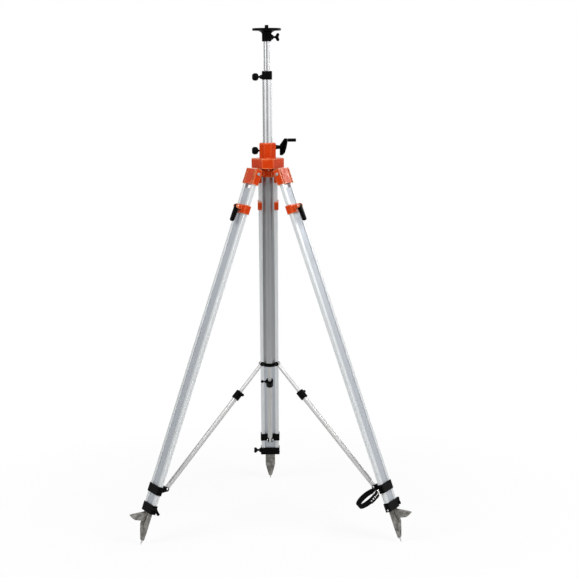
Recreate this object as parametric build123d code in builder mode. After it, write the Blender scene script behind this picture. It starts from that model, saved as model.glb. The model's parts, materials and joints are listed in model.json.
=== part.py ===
"""Aluminium elevating tripod for levels and lasers: three sliding legs with lever clamps,
telescopic spreader struts, a geared column raised by a crank and a second column inside it.

Millimetres, +Z up. The origin is on the column axis, at the height of the three spike tips.
The rear leg points along +Y, the crank along +X.
"""

from math import atan2, cos, degrees, hypot, pi, radians, sin, tan
import os

from build123d import *

os.makedirs("parts", exist_ok=True)

# Clearances
slide_gap = 0.4      # flat faces that slide on each other
turn_gap = 0.3       # faces that turn past each other
pin_gap = 0.05       # radial play of a pin or shaft in its hole

# Stance of the legs
leg_azimuths = {"rear": 90.0, "left": 210.0, "right": 330.0}
leg_tilt = 20.5          # spread from the vertical, degrees
pivot_radius = 65.0      # leg pivot from the column axis
tip_inset = 10.0         # spike tip inside the middle plane of the leg

# Leg rails: two extruded profiles with a guide groove on their inner sides and a shallow one on their flanks
rail_width = 16.0
rail_depth = 16.0
rail_spread = 45.0       # clear width between the two rails
rail_wall = 2.0
rail_edge = 2.0
groove_width = 6.8
groove_depth = 3.5
flank_groove_width = 4.0
flank_groove_depth = 1.0
rails_end = 1367.5       # pivot to the lower end of the rails

# Inner leg: a flat hollow profile that slides between the rails
inner_depth = 10.0
inner_wall = 1.8
inner_top = 59.0         # pivot to its upper end, legs retracted

# Shoulder casting at the top of each leg
shoulder_width = 84.0
shoulder_depth = 26.0
shoulder_rise = 19.0     # above the pivot
shoulder_drop = 43.0     # below the pivot
rail_sink = 23.0         # depth of the rail ends in the casting
fork_room = 4.0          # between the head's lug and the bottom of the fork
fork_wall = 3.0          # outer wall that closes the fork
shoulder_flute = 8.0
flute_depth = 3.5
casting_edge = 2.0

# Tripod head casting
flange_leg_face = 49.5     # axis to the three long faces, which face the legs
flange_corner_face = 61.0  # axis to the three short faces between the legs
flange_height = 38.0
flange_rise = 20.0         # underside of the flange above the leg pivots
boss_wall = 3.4            # sleeve of the head round the centre tube
boss_drop = 15.0           # lower end of that sleeve below the leg pivots
tube_seat_rise = 34.0      # upper end of the centre tube above the leg pivots
hinge_lug_width = 24.0
hinge_lug_radius = 9.5
bolt_radius = 5.0
bolt_head_radius = 6.2
bolt_head_height = 3.0

# Centre tube and strut hub
centre_tube_radius = 23.6
centre_tube_wall = 2.0
centre_tube_length = 788.7
hub_height = 15.0          # end piece below the tube
hub_rim = 1.0              # how far it stands out beyond the tube
hub_spigot = 22.0          # part of it inside the tube
hub_wall = 4.0
hub_pivot_radius = 36.0
hub_pivot_drop = 2.0       # strut pivots below the end of the tube
hub_ear_root = 18.0        # inner ends of the ears from the column axis
strut_pin_radius = 3.0
strut_pin_head = 4.6
strut_pin_height = 3.0
strut_eye_radius = 8.5
strut_eye_width = 8.0
strut_ear_width = 4.5

# Struts: a rod at the hub slides in a tube at the leg
rod_radius = 7.2
rod_length = 330.0
rod_shoulder = 0.8           # round rod starts this far below the eye
strut_tube_radius = 9.7
strut_tube_wall = 1.6
strut_collar_radius = 15.0
strut_collar_length = 35.0
strut_collar_start = 142.0   # hub pivot to the upper end of the collar
strut_collar_cover = 18.0    # length of tube held in the collar
tongue_width = 10.0
tongue_length = 30.0         # flat end of the strut tube, up to the lower pivot
strut_plug = 10.0            # solid end of the tube above the tongue

# Strut bracket and end collar round the lower ends of the rails
band_wall_side = 3.0
band_wall_face = 3.0
band_edge = 3.0
bracket_rise = 108.8         # top of the bracket above the lower end of the rails
bracket_height = 33.7
strut_foot_drop = 7.3        # strut's lower pivot below the top of the bracket
strut_standoff = 44.0        # strut's lower pivot inside the middle plane of the leg
bracket_ear_width = 5.0
bracket_ear_radius = 9.0
rivet_height = 1.5
end_collar_height = 34.0
screw_boss_radius = 13.0
screw_boss_tip = 7.0
screw_boss_length = 8.0

# Lever clamp near the top of the inner leg
clamp_drop = 68.5            # top of the clamp below the upper end of the inner leg
clamp_height = 34.0
clamp_wall_side = 3.4
clamp_wall_face = 5.0
clamp_edge = 4.0
lever_width = 17.0
lever_length = 62.0
lever_cam_radius = 7.6
lever_tip_radius = 6.5
lever_pivot_drop = 12.0      # below the top of the clamp
lever_pivot_out = 15.0       # outside the clamp's outer face
lever_lean = 2.0             # how far the lever's free end stands further out
lever_pin_radius = 3.0
lever_ear_width = 4.0

# Shoe and spike
shoe_width = 42.0
shoe_depth = 20.0
shoe_straight = 52.0         # parallel part below the end collar
shoe_taper = 58.0
shoe_end_width = 14.0
shoe_end_depth = 12.0
shoe_plug = 38.0             # spigot in the hollow inner leg
spike_length = 19.2          # below the casting
spike_radius = 4.6
spike_tip_radius = 0.8
spike_sink = 14.0
pedal_reach = 66.0           # level top of the pedal, beyond the outer face of the shoe
pedal_sink = 5.0             # root of the pedal inside that face
pedal_drop = 2.0             # root of the pedal below the top of the shoe
pedal_root_width = 30.0
pedal_root_height = 34.0
pedal_nose = 15.0            # length of its slanted end
pedal_nose_width = 20.0
pedal_nose_height = 20.5
pedal_tip_width = 13.0
pedal_tip_height = 3.0
pocket_width = 16.0
pocket_height = 24.0
pocket_depth = 6.0

# Crank housing
housing_sides = 8
housing_flats = 64.0
housing_height = 60.0
housing_edge = 3.0
housing_round = 3.5          # of its upright edges
gear_case_reach = 39.5       # back of the gear case from the column axis
gear_case_width = 34.0
gear_case_height = 34.0
gear_case_wall = 2.0         # left of the shaft's blind end
shaft_rise = 41.3            # crank shaft above the flange
shaft_radius = 5.5
boss_base_radius = 15.0
boss_tip_radius = 12.0
boss_length = 13.0           # up to the side of the housing

# Rack and pinion
tooth_pitch = 6.0
pinion_teeth = 8
tooth_addendum = 1.5
tooth_dedendum = 2.0
tooth_share = 0.42           # thickness of a tooth at the pitch line, as a share of the pitch
tooth_slope = 20.0           # flanks of the rack's teeth, degrees
pinion_root_share = 1.25     # half thickness of a pinion tooth at its root, and at its tip,
pinion_tip_share = 0.5       # as shares of that at the pitch line
rack_width = 10.0
rack_back = 3.0              # solid back of the rack below its teeth
rack_pitch_line = 19.0       # axis to the pitch line
rack_end_gap = 6.0

# Columns
lower_tube_radius = 19.4
lower_tube_wall = 2.0
lower_tube_rise = 302.7      # upper end of the lower column above the flange
lower_tube_length = 846.0
upper_tube_radius = 13.3
upper_tube_wall = 2.0
upper_tube_rise = 483.0      # upper end of the upper column above the flange
upper_tube_length = 707.0
key_width = 6.5              # groove along the front of both columns
key_depth = 1.2
glide_length = 18.0
glide_floor = 3.0
glide_hole_radius = 9.7
collar_radius = 20.0
collar_height = 33.0
collar_spigot = 26.0
collar_screw_rise = 10.6     # clamp screw above the lower end of the collar
lug_base_radius = 12.0       # tapered boss for a clamping screw
lug_tip_radius = 6.0
lug_length = 8.5
collar_edge = 2.5

# Head plate and instrument stud
plate_radius = 55.5
plate_thickness = 8.7
plate_edge = 1.2
flare_radius = 44.0          # hollow flare under the plate
flare_height = 14.0
socket_radius = 18.3
socket_length = 41.0         # below the plate
socket_screw_rise = 16.0     # clamp screw above the lower end of the socket
socket_lug_radius = 15.5     # base of the tapered boss for that screw
stud_radius = 7.94
stud_height = 12.5
stud_shank_radius = 9.0      # plain part in the plate
stud_chamfer = 1.4
stud_head_radius = 12.0
stud_head_height = 5.0

# Clamping screws
screw_radius = 3.0
wing_lobe_radius = 6.0
wing_lobe_offset = 9.5       # middle of a lobe from the axis of the screw
wing_thickness = 8.0
wing_dip = 4.5               # hollow between the lobes
wing_length = 18.0
wing_hub_radius = 6.5
wing_hub_length = 11.0
wing_neck_radius = 4.2
wing_neck_length = 4.0
leg_wing_turns = {"rear": 90.0, "left": 45.0, "right": 0.0}  # from upright, degrees
thumb_radius = 6.0
thumb_neck_length = 5.0
thumb_boss_radius = 6.5
thumb_boss_length = 4.0
knob_radius = 15.0
knob_length = 25.0
lock_knob_rise = 29.5        # lock screw above the flange
knob_flutes = 6
knob_flute_radius = 5.0
knob_flute_depth = 2.5
knob_round = 10.0

# Crank
arm_plane = 47.3             # inner face of the crank arm from the column axis
arm_thickness = 17.0
arm_bulge = 27.5             # depth of the arm at its hub, along the shaft
arm_up = 27.0                # shaft to the handle
arm_down = 32.0              # shaft to the tail of the arm
arm_tail = 11.0              # depth of the arm at its tail
arm_top = 13.0               # depth of the arm at the handle
arm_lean = 18.0              # how far the handle end stands further out
arm_knee = 8.0               # where the lean starts, above the shaft
arm_belly = 20.6             # depth of the arm below its hub
arm_belly_drop = 22.4        # where it has that depth, below the shaft
arm_edge = 2.5
arm_chamfer = 1.7
neck_radius = 9.4            # tapered neck between the housing and the arm
neck_tip_radius = 7.0
handle_radius = 6.8
handle_length = 33.0
handle_pin_radius = 3.5
handle_pin_length = 26.4
handle_edge = 2.5

# Carrying strap on the right leg
strap_width = 28.0
strap_thickness = 2.6
strap_reach = 98.0           # length of the loop
strap_breadth = 70.0         # breadth of the loop
strap_droop = 38.8           # fall of the loop below the horizontal, degrees
strap_roll = 10.0            # fall of its front side, degrees
strap_gap = 4.4              # between the corner of the bracket and the loop
strap_drop = 14.0            # lower edge of the strap below the middle of the bracket

# Places worked out from the sizes above
tilt = radians(leg_tilt)
half_gap = 180 / len(leg_azimuths)
shoe_top = rails_end + turn_gap
shoe_end = shoe_top + shoe_straight + shoe_taper
leg_reach = shoe_end + spike_length
clamp_top = inner_top + clamp_drop
bracket_top = rails_end - bracket_rise
strut_foot = bracket_top + strut_foot_drop
pivot_height = leg_reach * cos(tilt) + tip_inset * sin(tilt)
leg_width = rail_spread + 2 * rail_width
rail_centre = (rail_spread + rail_width) / 2
flange_bottom = pivot_height + flange_rise
flange_top = flange_bottom + flange_height
tube_seat = pivot_height + tube_seat_rise
centre_tube_end = tube_seat - centre_tube_length
shaft_height = flange_top + shaft_rise
pinion_pitch_radius = pinion_teeth * tooth_pitch / (2 * pi)
pinion_axis = rack_pitch_line + pinion_pitch_radius
pinion_width = rack_width - 2 * slide_gap
lower_tube_top = flange_top + lower_tube_rise
upper_tube_top = flange_top + upper_tube_rise


def leg_frame(azimuth):
    """Frame of a leg: x across it, y outwards, z up along it, with its origin at the pivot."""
    turn = radians(azimuth)
    return Plane(
        origin=(pivot_radius * cos(turn), pivot_radius * sin(turn), pivot_height),
        x_dir=(sin(turn), -cos(turn), 0),
        z_dir=(-sin(tilt) * cos(turn), -sin(tilt) * sin(turn), cos(tilt)),
    )


# The strut runs from its pivot at the hub to its pivot at the leg bracket
strut_top_height = centre_tube_end - hub_pivot_drop
strut_foot_radius = pivot_radius + strut_foot * sin(tilt) - strut_standoff * cos(tilt)
strut_foot_height = pivot_height - strut_foot * cos(tilt) - strut_standoff * sin(tilt)
strut_run = strut_foot_radius - hub_pivot_radius
strut_fall = strut_top_height - strut_foot_height
strut_length = hypot(strut_run, strut_fall)
strut_tilt = atan2(strut_run, strut_fall)


def strut_frame(azimuth):
    """Frame of a strut: x across it, z up along it, with its origin at the hub pivot."""
    turn = radians(azimuth)
    return Plane(
        origin=(hub_pivot_radius * cos(turn), hub_pivot_radius * sin(turn), strut_top_height),
        x_dir=(sin(turn), -cos(turn), 0),
        z_dir=(-sin(strut_tilt) * cos(turn), -sin(strut_tilt) * sin(turn), cos(strut_tilt)),
    )


def radial_frame(azimuth, radius, height):
    """Upright frame at one azimuth: x across, y outwards, z up."""
    turn = radians(azimuth)
    return Plane(
        origin=(radius * cos(turn), radius * sin(turn), height),
        x_dir=(sin(turn), -cos(turn), 0),
        z_dir=(0, 0, 1),
    )


def save(part, name):
    part.label = name
    export_step(part, f"parts/{name}.step")


# Head casting: a six-sided flange, a sleeve for the centre tube and three hinge lugs
def flange_outline():
    """Corners of the flange: long faces towards the legs, short faces between them."""
    half_short = (flange_leg_face - flange_corner_face * cos(radians(half_gap))) / sin(radians(half_gap))
    corner_radius = hypot(flange_corner_face, half_short)
    corner_turn = degrees(atan2(half_short, flange_corner_face))
    corners = []
    for azimuth in leg_azimuths.values():
        for turn in (azimuth + half_gap - corner_turn, azimuth + half_gap + corner_turn):
            corners.append((corner_radius * cos(radians(turn)), corner_radius * sin(radians(turn))))
    return corners


keyway_width = rack_width + 2 * slide_gap
keyway_reach = rack_pitch_line + tooth_addendum + slide_gap
column_bore = lower_tube_radius + slide_gap

with BuildPart() as tripod_head:
    with BuildSketch(Plane.XY.offset(flange_bottom)):
        Polygon(*flange_outline(), align=None)
    extrude(amount=flange_height)
    chamfer(tripod_head.faces().sort_by(Axis.Z)[-1].edges(), length=casting_edge)
    fillet(tripod_head.edges().filter_by(Axis.Z), radius=casting_edge)
    with BuildSketch(Plane.XY.offset(pivot_height - boss_drop)):
        Circle(centre_tube_radius + boss_wall)
    extrude(amount=boss_drop + flange_rise)
    for azimuth in leg_azimuths.values():
        hinge = radial_frame(azimuth, pivot_radius, pivot_height)
        lug_plane = Plane(hinge.origin, x_dir=hinge.y_dir, z_dir=hinge.x_dir).offset(-hinge_lug_width / 2)
        with BuildSketch(lug_plane):
            Circle(hinge_lug_radius)
            with Locations((-pivot_radius / 2, 0)):
                Rectangle(pivot_radius, 2 * hinge_lug_radius)
        extrude(amount=hinge_lug_width)
        with BuildSketch(lug_plane):
            Circle(bolt_radius + pin_gap)
        extrude(amount=hinge_lug_width, mode=Mode.SUBTRACT)
    with BuildSketch(Plane.XY.offset(pivot_height - boss_drop)):
        Circle(centre_tube_radius)
    extrude(amount=boss_drop + tube_seat_rise, mode=Mode.SUBTRACT)
    with BuildSketch(Plane.XY.offset(tube_seat)):
        Circle(column_bore)
        with Locations((0, keyway_reach / 2)):
            Rectangle(keyway_width, keyway_reach)
    extrude(amount=flange_top - tube_seat, mode=Mode.SUBTRACT)
save(tripod_head.part, "tripod_head")

# Crank housing: an octagonal casting with a gear case behind and a tapered boss for the crank shaft
side_frame = Plane(origin=(0, pinion_axis, shaft_height), x_dir=(0, 1, 0), z_dir=(1, 0, 0))
lock_frame = Plane(origin=(0, 0, flange_top + lock_knob_rise), x_dir=(0, -1, 0), z_dir=(-1, 0, 0))

with BuildPart() as crank_housing:
    with BuildSketch(Plane.XY.offset(flange_top)):
        RegularPolygon(housing_flats / 2, housing_sides, major_radius=False, rotation=180 / housing_sides)
    extrude(amount=housing_height)
    fillet(crank_housing.edges().filter_by(Axis.Z), radius=housing_round)
    chamfer(crank_housing.faces().sort_by(Axis.Z)[-1].edges(), length=housing_edge)
    with BuildSketch(Plane.XY.offset(shaft_height - gear_case_height / 2)):
        with Locations((0, gear_case_reach / 2)):
            Rectangle(gear_case_width, gear_case_reach)
    extrude(amount=gear_case_height)
    with BuildSketch(side_frame.offset(housing_flats / 2 - boss_length)):
        Circle(boss_base_radius)
    with BuildSketch(side_frame.offset(housing_flats / 2)):
        Circle(boss_tip_radius)
    loft()
    with BuildSketch(Plane.XY.offset(flange_top)):
        Circle(column_bore)
        with Locations((0, keyway_reach / 2)):
            Rectangle(keyway_width, keyway_reach)
    extrude(amount=housing_height, mode=Mode.SUBTRACT)
    with BuildSketch(side_frame.offset(-pinion_width / 2 - turn_gap)):
        Circle(pinion_pitch_radius + tooth_addendum + slide_gap)
    extrude(amount=pinion_width + 2 * turn_gap, mode=Mode.SUBTRACT)
    with BuildSketch(side_frame):
        Circle(shaft_radius + pin_gap)
    extrude(amount=housing_flats, mode=Mode.SUBTRACT)
    with BuildSketch(side_frame.offset(-gear_case_width / 2 + gear_case_wall)):
        Circle(shaft_radius + pin_gap)
    extrude(amount=gear_case_width / 2, mode=Mode.SUBTRACT)
    with BuildSketch(lock_frame):
        Circle(screw_radius + pin_gap)
    extrude(amount=housing_flats, mode=Mode.SUBTRACT)
save(crank_housing.part, "crank_housing")

# Centre tube, fixed in the head, with the strut hub in its lower end
with BuildPart() as centre_tube:
    with BuildSketch(Plane.XY.offset(centre_tube_end)):
        Circle(centre_tube_radius)
        Circle(centre_tube_radius - centre_tube_wall, mode=Mode.SUBTRACT)
    extrude(amount=centre_tube_length)
save(centre_tube.part, "centre_tube")

hub_ear_inside = strut_eye_width / 2 + turn_gap
with BuildPart() as strut_hub:
    with BuildSketch(Plane.XY.offset(centre_tube_end - hub_height)):
        Circle(centre_tube_radius + hub_rim)
    extrude(amount=hub_height)
    fillet(strut_hub.faces().sort_by(Axis.Z)[0].edges(), radius=casting_edge)
    with BuildSketch(Plane.XY.offset(centre_tube_end)):
        Circle(centre_tube_radius - centre_tube_wall)
    extrude(amount=hub_spigot)
    for azimuth in leg_azimuths.values():
        ear = radial_frame(azimuth, hub_pivot_radius, strut_top_height)
        for side in (-1, 1):
            middle = side * (hub_ear_inside + strut_ear_width / 2)
            ear_plane = Plane(ear.origin, x_dir=ear.y_dir, z_dir=ear.x_dir).offset(middle)
            with BuildSketch(ear_plane):
                Circle(strut_eye_radius)
                with Locations((0, hub_pivot_drop)):
                    Rectangle(
                        hub_pivot_radius - hub_ear_root,
                        hub_pivot_drop + strut_eye_radius,
                        align=(Align.MAX, Align.MAX),
                    )
            extrude(amount=strut_ear_width / 2, both=True)
            with BuildSketch(ear_plane):
                Circle(strut_pin_radius + pin_gap)
            extrude(amount=strut_ear_width, both=True, mode=Mode.SUBTRACT)
    with BuildSketch(Plane.XY.offset(centre_tube_end - hub_height)):
        Circle(centre_tube_radius - centre_tube_wall - hub_wall)
    extrude(amount=hub_height + hub_spigot, mode=Mode.SUBTRACT)
save(strut_hub.part, "strut_hub")


def headed_pin(radius, head_radius, head_height, grip):
    """Pin along x, centred, with a domed head beyond each end of the grip."""
    with BuildPart() as pin:
        with BuildSketch(Plane.YZ.offset(-grip / 2)):
            Circle(radius)
        extrude(amount=grip)
        for end in (-1, 1):
            face = Plane(origin=(end * grip / 2, 0, 0), x_dir=(0, 1, 0), z_dir=(end, 0, 0))
            with BuildSketch(face):
                Circle(head_radius)
            extrude(amount=head_height)
            rim = pin.edges().filter_by(GeomType.CIRCLE).sort_by(Axis((0, 0, 0), (end, 0, 0)))[-1]
            fillet(rim, radius=head_height / 2)
    return pin.part


leg_bolt = headed_pin(bolt_radius, bolt_head_radius, bolt_head_height, shoulder_width + 2 * turn_gap)
leg_bolts = [leg_bolt.moved(leg_frame(azimuth).location) for azimuth in leg_azimuths.values()]
save(Compound(children=leg_bolts), "leg_pivot_bolts")
strut_grip = 2 * (hub_ear_inside + strut_ear_width)
strut_pin = headed_pin(strut_pin_radius, strut_pin_head, strut_pin_height, strut_grip)
strut_pins = [strut_pin.moved(strut_frame(azimuth).location) for azimuth in leg_azimuths.values()]
save(Compound(children=strut_pins), "strut_hub_pins")

# Lower column: tube with a rack let into its back, a collar on top and a glide below
lower_tube_end = lower_tube_top - lower_tube_length
rack_start = lower_tube_end + glide_length + rack_end_gap
rack_stop = lower_tube_top - rack_end_gap
rack_crest = rack_pitch_line + tooth_addendum
rack_root = rack_pitch_line - tooth_dedendum
rack_floor = rack_root - rack_back
with BuildPart() as lower_column_tube:
    with BuildSketch(Plane.XY.offset(lower_tube_end)):
        Circle(lower_tube_radius)
        Circle(lower_tube_radius - lower_tube_wall, mode=Mode.SUBTRACT)
        with Locations((0, -lower_tube_radius)):
            Rectangle(key_width, 2 * key_depth, mode=Mode.SUBTRACT)
    extrude(amount=lower_tube_length)
    with BuildSketch(Plane.XY.offset(rack_start)):
        with Locations((0, lower_tube_radius)):
            Rectangle(rack_width, 2 * (lower_tube_radius - rack_floor))
    extrude(amount=rack_stop - rack_start, mode=Mode.SUBTRACT)
save(lower_column_tube.part, "lower_column_tube")


def tooth_half(height):
    """Half thickness of a rack tooth at a height above the pitch line."""
    return tooth_share * tooth_pitch / 2 - height * tan(radians(tooth_slope))


# A tooth space of the rack faces the pinion's axis, and a tooth of the pinion stands in it
space_count = int((rack_stop - rack_start) / tooth_pitch) + 1
below = int((shaft_height - rack_start) / tooth_pitch)
with BuildPart() as column_rack:
    with BuildSketch(Plane.YZ) as rack_profile:
        with BuildLine():
            outline = [(rack_floor, rack_start), (rack_root, rack_start)]
            for index in range(-below, space_count - below):
                middle = shaft_height + (index + 0.5) * tooth_pitch
                root = tooth_half(-tooth_dedendum)
                tip = tooth_half(tooth_addendum)
                if middle - root < rack_start or middle + root > rack_stop:
                    continue
                outline += [(rack_root, middle - root), (rack_crest, middle - tip)]
                outline += [(rack_crest, middle + tip), (rack_root, middle + root)]
            outline += [(rack_root, rack_stop), (rack_floor, rack_stop)]
            Polyline(*outline, close=True)
        make_face()
    extrude(amount=rack_width / 2, both=True)
save(column_rack.part, "column_rack")

with BuildPart() as column_collar:
    with BuildSketch(Plane.XY.offset(lower_tube_top)):
        Circle(collar_radius)
    extrude(amount=collar_height)
    fillet(column_collar.edges().filter_by(GeomType.CIRCLE), radius=collar_edge)
    with BuildSketch(Plane.XY.offset(lower_tube_top - collar_spigot)):
        Circle(lower_tube_radius - lower_tube_wall)
    extrude(amount=collar_spigot)
    collar_screw = Plane(
        origin=(0, 0, lower_tube_top + collar_screw_rise),
        x_dir=(0, -1, 0),
        z_dir=(-1, 0, 0),
    )
    with BuildSketch(collar_screw.offset(upper_tube_radius)):
        Circle(lug_base_radius)
    with BuildSketch(collar_screw.offset(collar_radius + lug_length)):
        Circle(lug_tip_radius)
    loft()
    with BuildSketch(Plane.XY.offset(lower_tube_top - collar_spigot)):
        Circle(upper_tube_radius + slide_gap)
    extrude(amount=collar_spigot + collar_height, mode=Mode.SUBTRACT)
    with BuildSketch(Plane.XY.offset(lower_tube_top - collar_spigot)):
        with Locations((0, rack_floor - slide_gap)):
            Rectangle(keyway_width, lower_tube_radius, align=(Align.CENTER, Align.MIN))
    extrude(amount=collar_spigot, mode=Mode.SUBTRACT)
    with BuildSketch(collar_screw):
        Circle(screw_radius + pin_gap)
    extrude(amount=collar_radius + lug_length, mode=Mode.SUBTRACT)
save(column_collar.part, "column_collar")


# Glide: a plastic sleeve round the lower end of the column, running in the centre tube
with BuildPart() as lower_column_glide:
    with BuildSketch(Plane.XY.offset(lower_tube_end - glide_floor)):
        Circle(centre_tube_radius - centre_tube_wall - slide_gap)
    extrude(amount=glide_floor + glide_length)
    with BuildSketch(Plane.XY.offset(lower_tube_end)):
        Circle(lower_tube_radius)
    extrude(amount=glide_length, mode=Mode.SUBTRACT)
    with BuildSketch(Plane.XY.offset(lower_tube_end - glide_floor)):
        Circle(glide_hole_radius)
    extrude(amount=glide_floor, mode=Mode.SUBTRACT)
save(lower_column_glide.part, "lower_column_glide")

# Upper column, sliding in the collar
upper_tube_end = upper_tube_top - upper_tube_length
with BuildPart() as upper_column_tube:
    with BuildSketch(Plane.XY.offset(upper_tube_end)):
        Circle(upper_tube_radius)
        Circle(upper_tube_radius - upper_tube_wall, mode=Mode.SUBTRACT)
        with Locations((0, -upper_tube_radius)):
            Rectangle(key_width, 2 * key_depth, mode=Mode.SUBTRACT)
    extrude(amount=upper_tube_length)
save(upper_column_tube.part, "upper_column_tube")

# Glide plug in its lower end, whose rim runs past the back of the rack
with BuildPart() as upper_column_glide:
    with BuildSketch(Plane.XY.offset(upper_tube_end - glide_floor)):
        Circle(rack_floor - slide_gap)
    extrude(amount=glide_floor)
    with BuildSketch(Plane.XY.offset(upper_tube_end)):
        Circle(upper_tube_radius - upper_tube_wall)
    extrude(amount=glide_length)
    with BuildSketch(Plane.XY.offset(upper_tube_end - glide_floor)):
        Circle(upper_tube_radius - 2 * upper_tube_wall)
    extrude(amount=glide_floor + glide_length, mode=Mode.SUBTRACT)
save(upper_column_glide.part, "upper_column_glide")

# Head plate with its socket, and the instrument stud held under the plate
plate_bottom = upper_tube_top + stud_head_height + plate_edge
plate_top = plate_bottom + plate_thickness
socket_bottom = plate_bottom - socket_length
socket_screw = Plane((0, 0, socket_bottom + socket_screw_rise), x_dir=(0, 0, 1), z_dir=(1, 0, 0))
with BuildPart() as head_plate:
    with BuildSketch(Plane.XY.offset(plate_bottom)):
        Circle(plate_radius)
    extrude(amount=plate_thickness)
    chamfer(head_plate.edges().filter_by(GeomType.CIRCLE), length=plate_edge)
    with BuildSketch(Plane.XZ):
        with BuildLine():
            flare_start = plate_bottom - flare_height
            EllipticalCenterArc(
                (flare_radius, flare_start),
                flare_radius - socket_radius,
                flare_height,
                start_angle=90,
                arc_size=90,
            )
            Polyline(
                (flare_radius, plate_bottom),
                (0, plate_bottom),
                (0, socket_bottom),
                (socket_radius, socket_bottom),
                (socket_radius, flare_start),
            )
        make_face()
    revolve(axis=Axis.Z)
    with BuildSketch(socket_screw.offset(upper_tube_radius)):
        Circle(socket_lug_radius)
    with BuildSketch(socket_screw.offset(socket_radius + lug_length)):
        Circle(lug_tip_radius)
    loft()
    with BuildSketch(Plane.XY.offset(socket_bottom)):
        Circle(upper_tube_radius + pin_gap)
    extrude(amount=upper_tube_top + stud_head_height - socket_bottom, mode=Mode.SUBTRACT)
    with BuildSketch(Plane.XY.offset(plate_bottom - plate_edge)):
        Circle(stud_shank_radius)
    extrude(amount=plate_thickness + plate_edge, mode=Mode.SUBTRACT)
    with BuildSketch(socket_screw):
        Circle(screw_radius + pin_gap)
    extrude(amount=socket_radius + lug_length, mode=Mode.SUBTRACT)
save(head_plate.part, "head_plate")

with BuildPart() as head_stud:
    with BuildSketch(Plane.XY.offset(upper_tube_top)):
        Circle(stud_head_radius)
    extrude(amount=stud_head_height)
    with BuildSketch(Plane.XY.offset(upper_tube_top)):
        Circle(stud_shank_radius)
    extrude(amount=plate_top - upper_tube_top)
    with BuildSketch(Plane.XY.offset(plate_top)):
        Circle(stud_radius)
    extrude(amount=stud_height)
    chamfer(head_stud.edges().sort_by(Axis.Z)[-1], length=stud_chamfer)
save(head_stud.part, "head_stud")


# Clamping screws: each is drawn along z, with its tip at zero and its grip outwards
def wing_screw(reach):
    with BuildPart() as screw:
        with BuildSketch():
            Circle(screw_radius)
        extrude(amount=reach)
        root = reach + wing_neck_length
        lobe_middle = root + wing_length - wing_lobe_radius
        with BuildSketch(Plane.XY.offset(reach)):
            Circle(wing_neck_radius)
        extrude(amount=wing_neck_length)
        with BuildSketch(Plane.XY.offset(root)):
            Circle(wing_neck_radius)
        with BuildSketch(Plane.XY.offset(root + wing_hub_length)):
            Circle(wing_hub_radius)
        loft()
        with BuildSketch(Plane.XZ):
            for side in (-1, 1):
                with BuildLine():
                    Polyline(
                        (0, root),
                        (side * wing_lobe_offset, lobe_middle - wing_lobe_radius),
                        (side * wing_lobe_offset, lobe_middle + wing_lobe_radius),
                        (0, root + wing_length - wing_dip),
                        close=True,
                    )
                make_face()
                with Locations((side * wing_lobe_offset, lobe_middle)):
                    Circle(wing_lobe_radius)
        extrude(amount=wing_thickness / 2, both=True)
    return screw.part


def fluted_screw(reach):
    with BuildPart() as screw:
        with BuildSketch(Plane.XY.offset(reach + wing_neck_length)):
            Circle(knob_radius)
        extrude(amount=knob_length)
        fillet(screw.edges().filter_by(GeomType.CIRCLE), radius=knob_round)
        with BuildSketch(Plane.XY.offset(reach + wing_neck_length)):
            with PolarLocations(knob_radius + knob_flute_radius - knob_flute_depth, knob_flutes):
                Circle(knob_flute_radius)
        extrude(amount=knob_length, mode=Mode.SUBTRACT)
        with BuildSketch(Plane.XY.offset(reach)):
            Circle(wing_neck_radius)
        extrude(amount=wing_neck_length)
        with BuildSketch():
            Circle(screw_radius)
        extrude(amount=reach)
    return screw.part


def ball_screw(reach):
    with BuildPart() as screw:
        with BuildSketch():
            Circle(screw_radius)
        extrude(amount=reach + thumb_neck_length + thumb_radius)
        with Locations((0, 0, reach + thumb_neck_length + thumb_radius)):
            Sphere(thumb_radius)
    return screw.part


def seated(frame, distance):
    """Frame of a screw whose tip stands at a distance along the frame's z axis."""
    return frame.offset(distance).location


column_screw = fluted_screw(collar_radius + lug_length - upper_tube_radius)
save(column_screw.moved(seated(collar_screw, upper_tube_radius + turn_gap)), "column_knob")
head_screw = wing_screw(socket_radius + lug_length - upper_tube_radius)
save(head_screw.moved(seated(socket_screw, upper_tube_radius + turn_gap)), "head_wing_screw")
lock_screw = fluted_screw(housing_flats / 2 - lower_tube_radius)
save(lock_screw.moved(seated(lock_frame, lower_tube_radius + turn_gap)), "lock_knob")

# Pinion shaft: the teeth stand in the spaces of the rack
def pinion_outline():
    """Corners of the pinion, with the middle of one tooth towards the rack."""
    flank = tooth_share * tooth_pitch / 2
    steps = [
        (pinion_pitch_radius - tooth_dedendum, -pinion_root_share * flank),
        (pinion_pitch_radius, -flank),
        (pinion_pitch_radius + tooth_addendum, -pinion_tip_share * flank),
        (pinion_pitch_radius + tooth_addendum, pinion_tip_share * flank),
        (pinion_pitch_radius, flank),
        (pinion_pitch_radius - tooth_dedendum, pinion_root_share * flank),
    ]
    corners = []
    for index in range(pinion_teeth):
        middle = pi + index * 2 * pi / pinion_teeth
        for radius, along in steps:
            turn = middle + along / radius
            corners.append((radius * cos(turn), radius * sin(turn)))
    return corners


with BuildPart() as pinion_shaft:
    with BuildSketch(side_frame.offset(-pinion_width / 2)):
        Polygon(*pinion_outline(), align=None)
    extrude(amount=pinion_width)
    shaft_start = -gear_case_width / 2 + gear_case_wall + turn_gap
    with BuildSketch(side_frame.offset(shaft_start)):
        Circle(shaft_radius)
    extrude(amount=arm_plane + arm_bulge / 2 - shaft_start)
save(pinion_shaft.part, "pinion_shaft")

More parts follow.
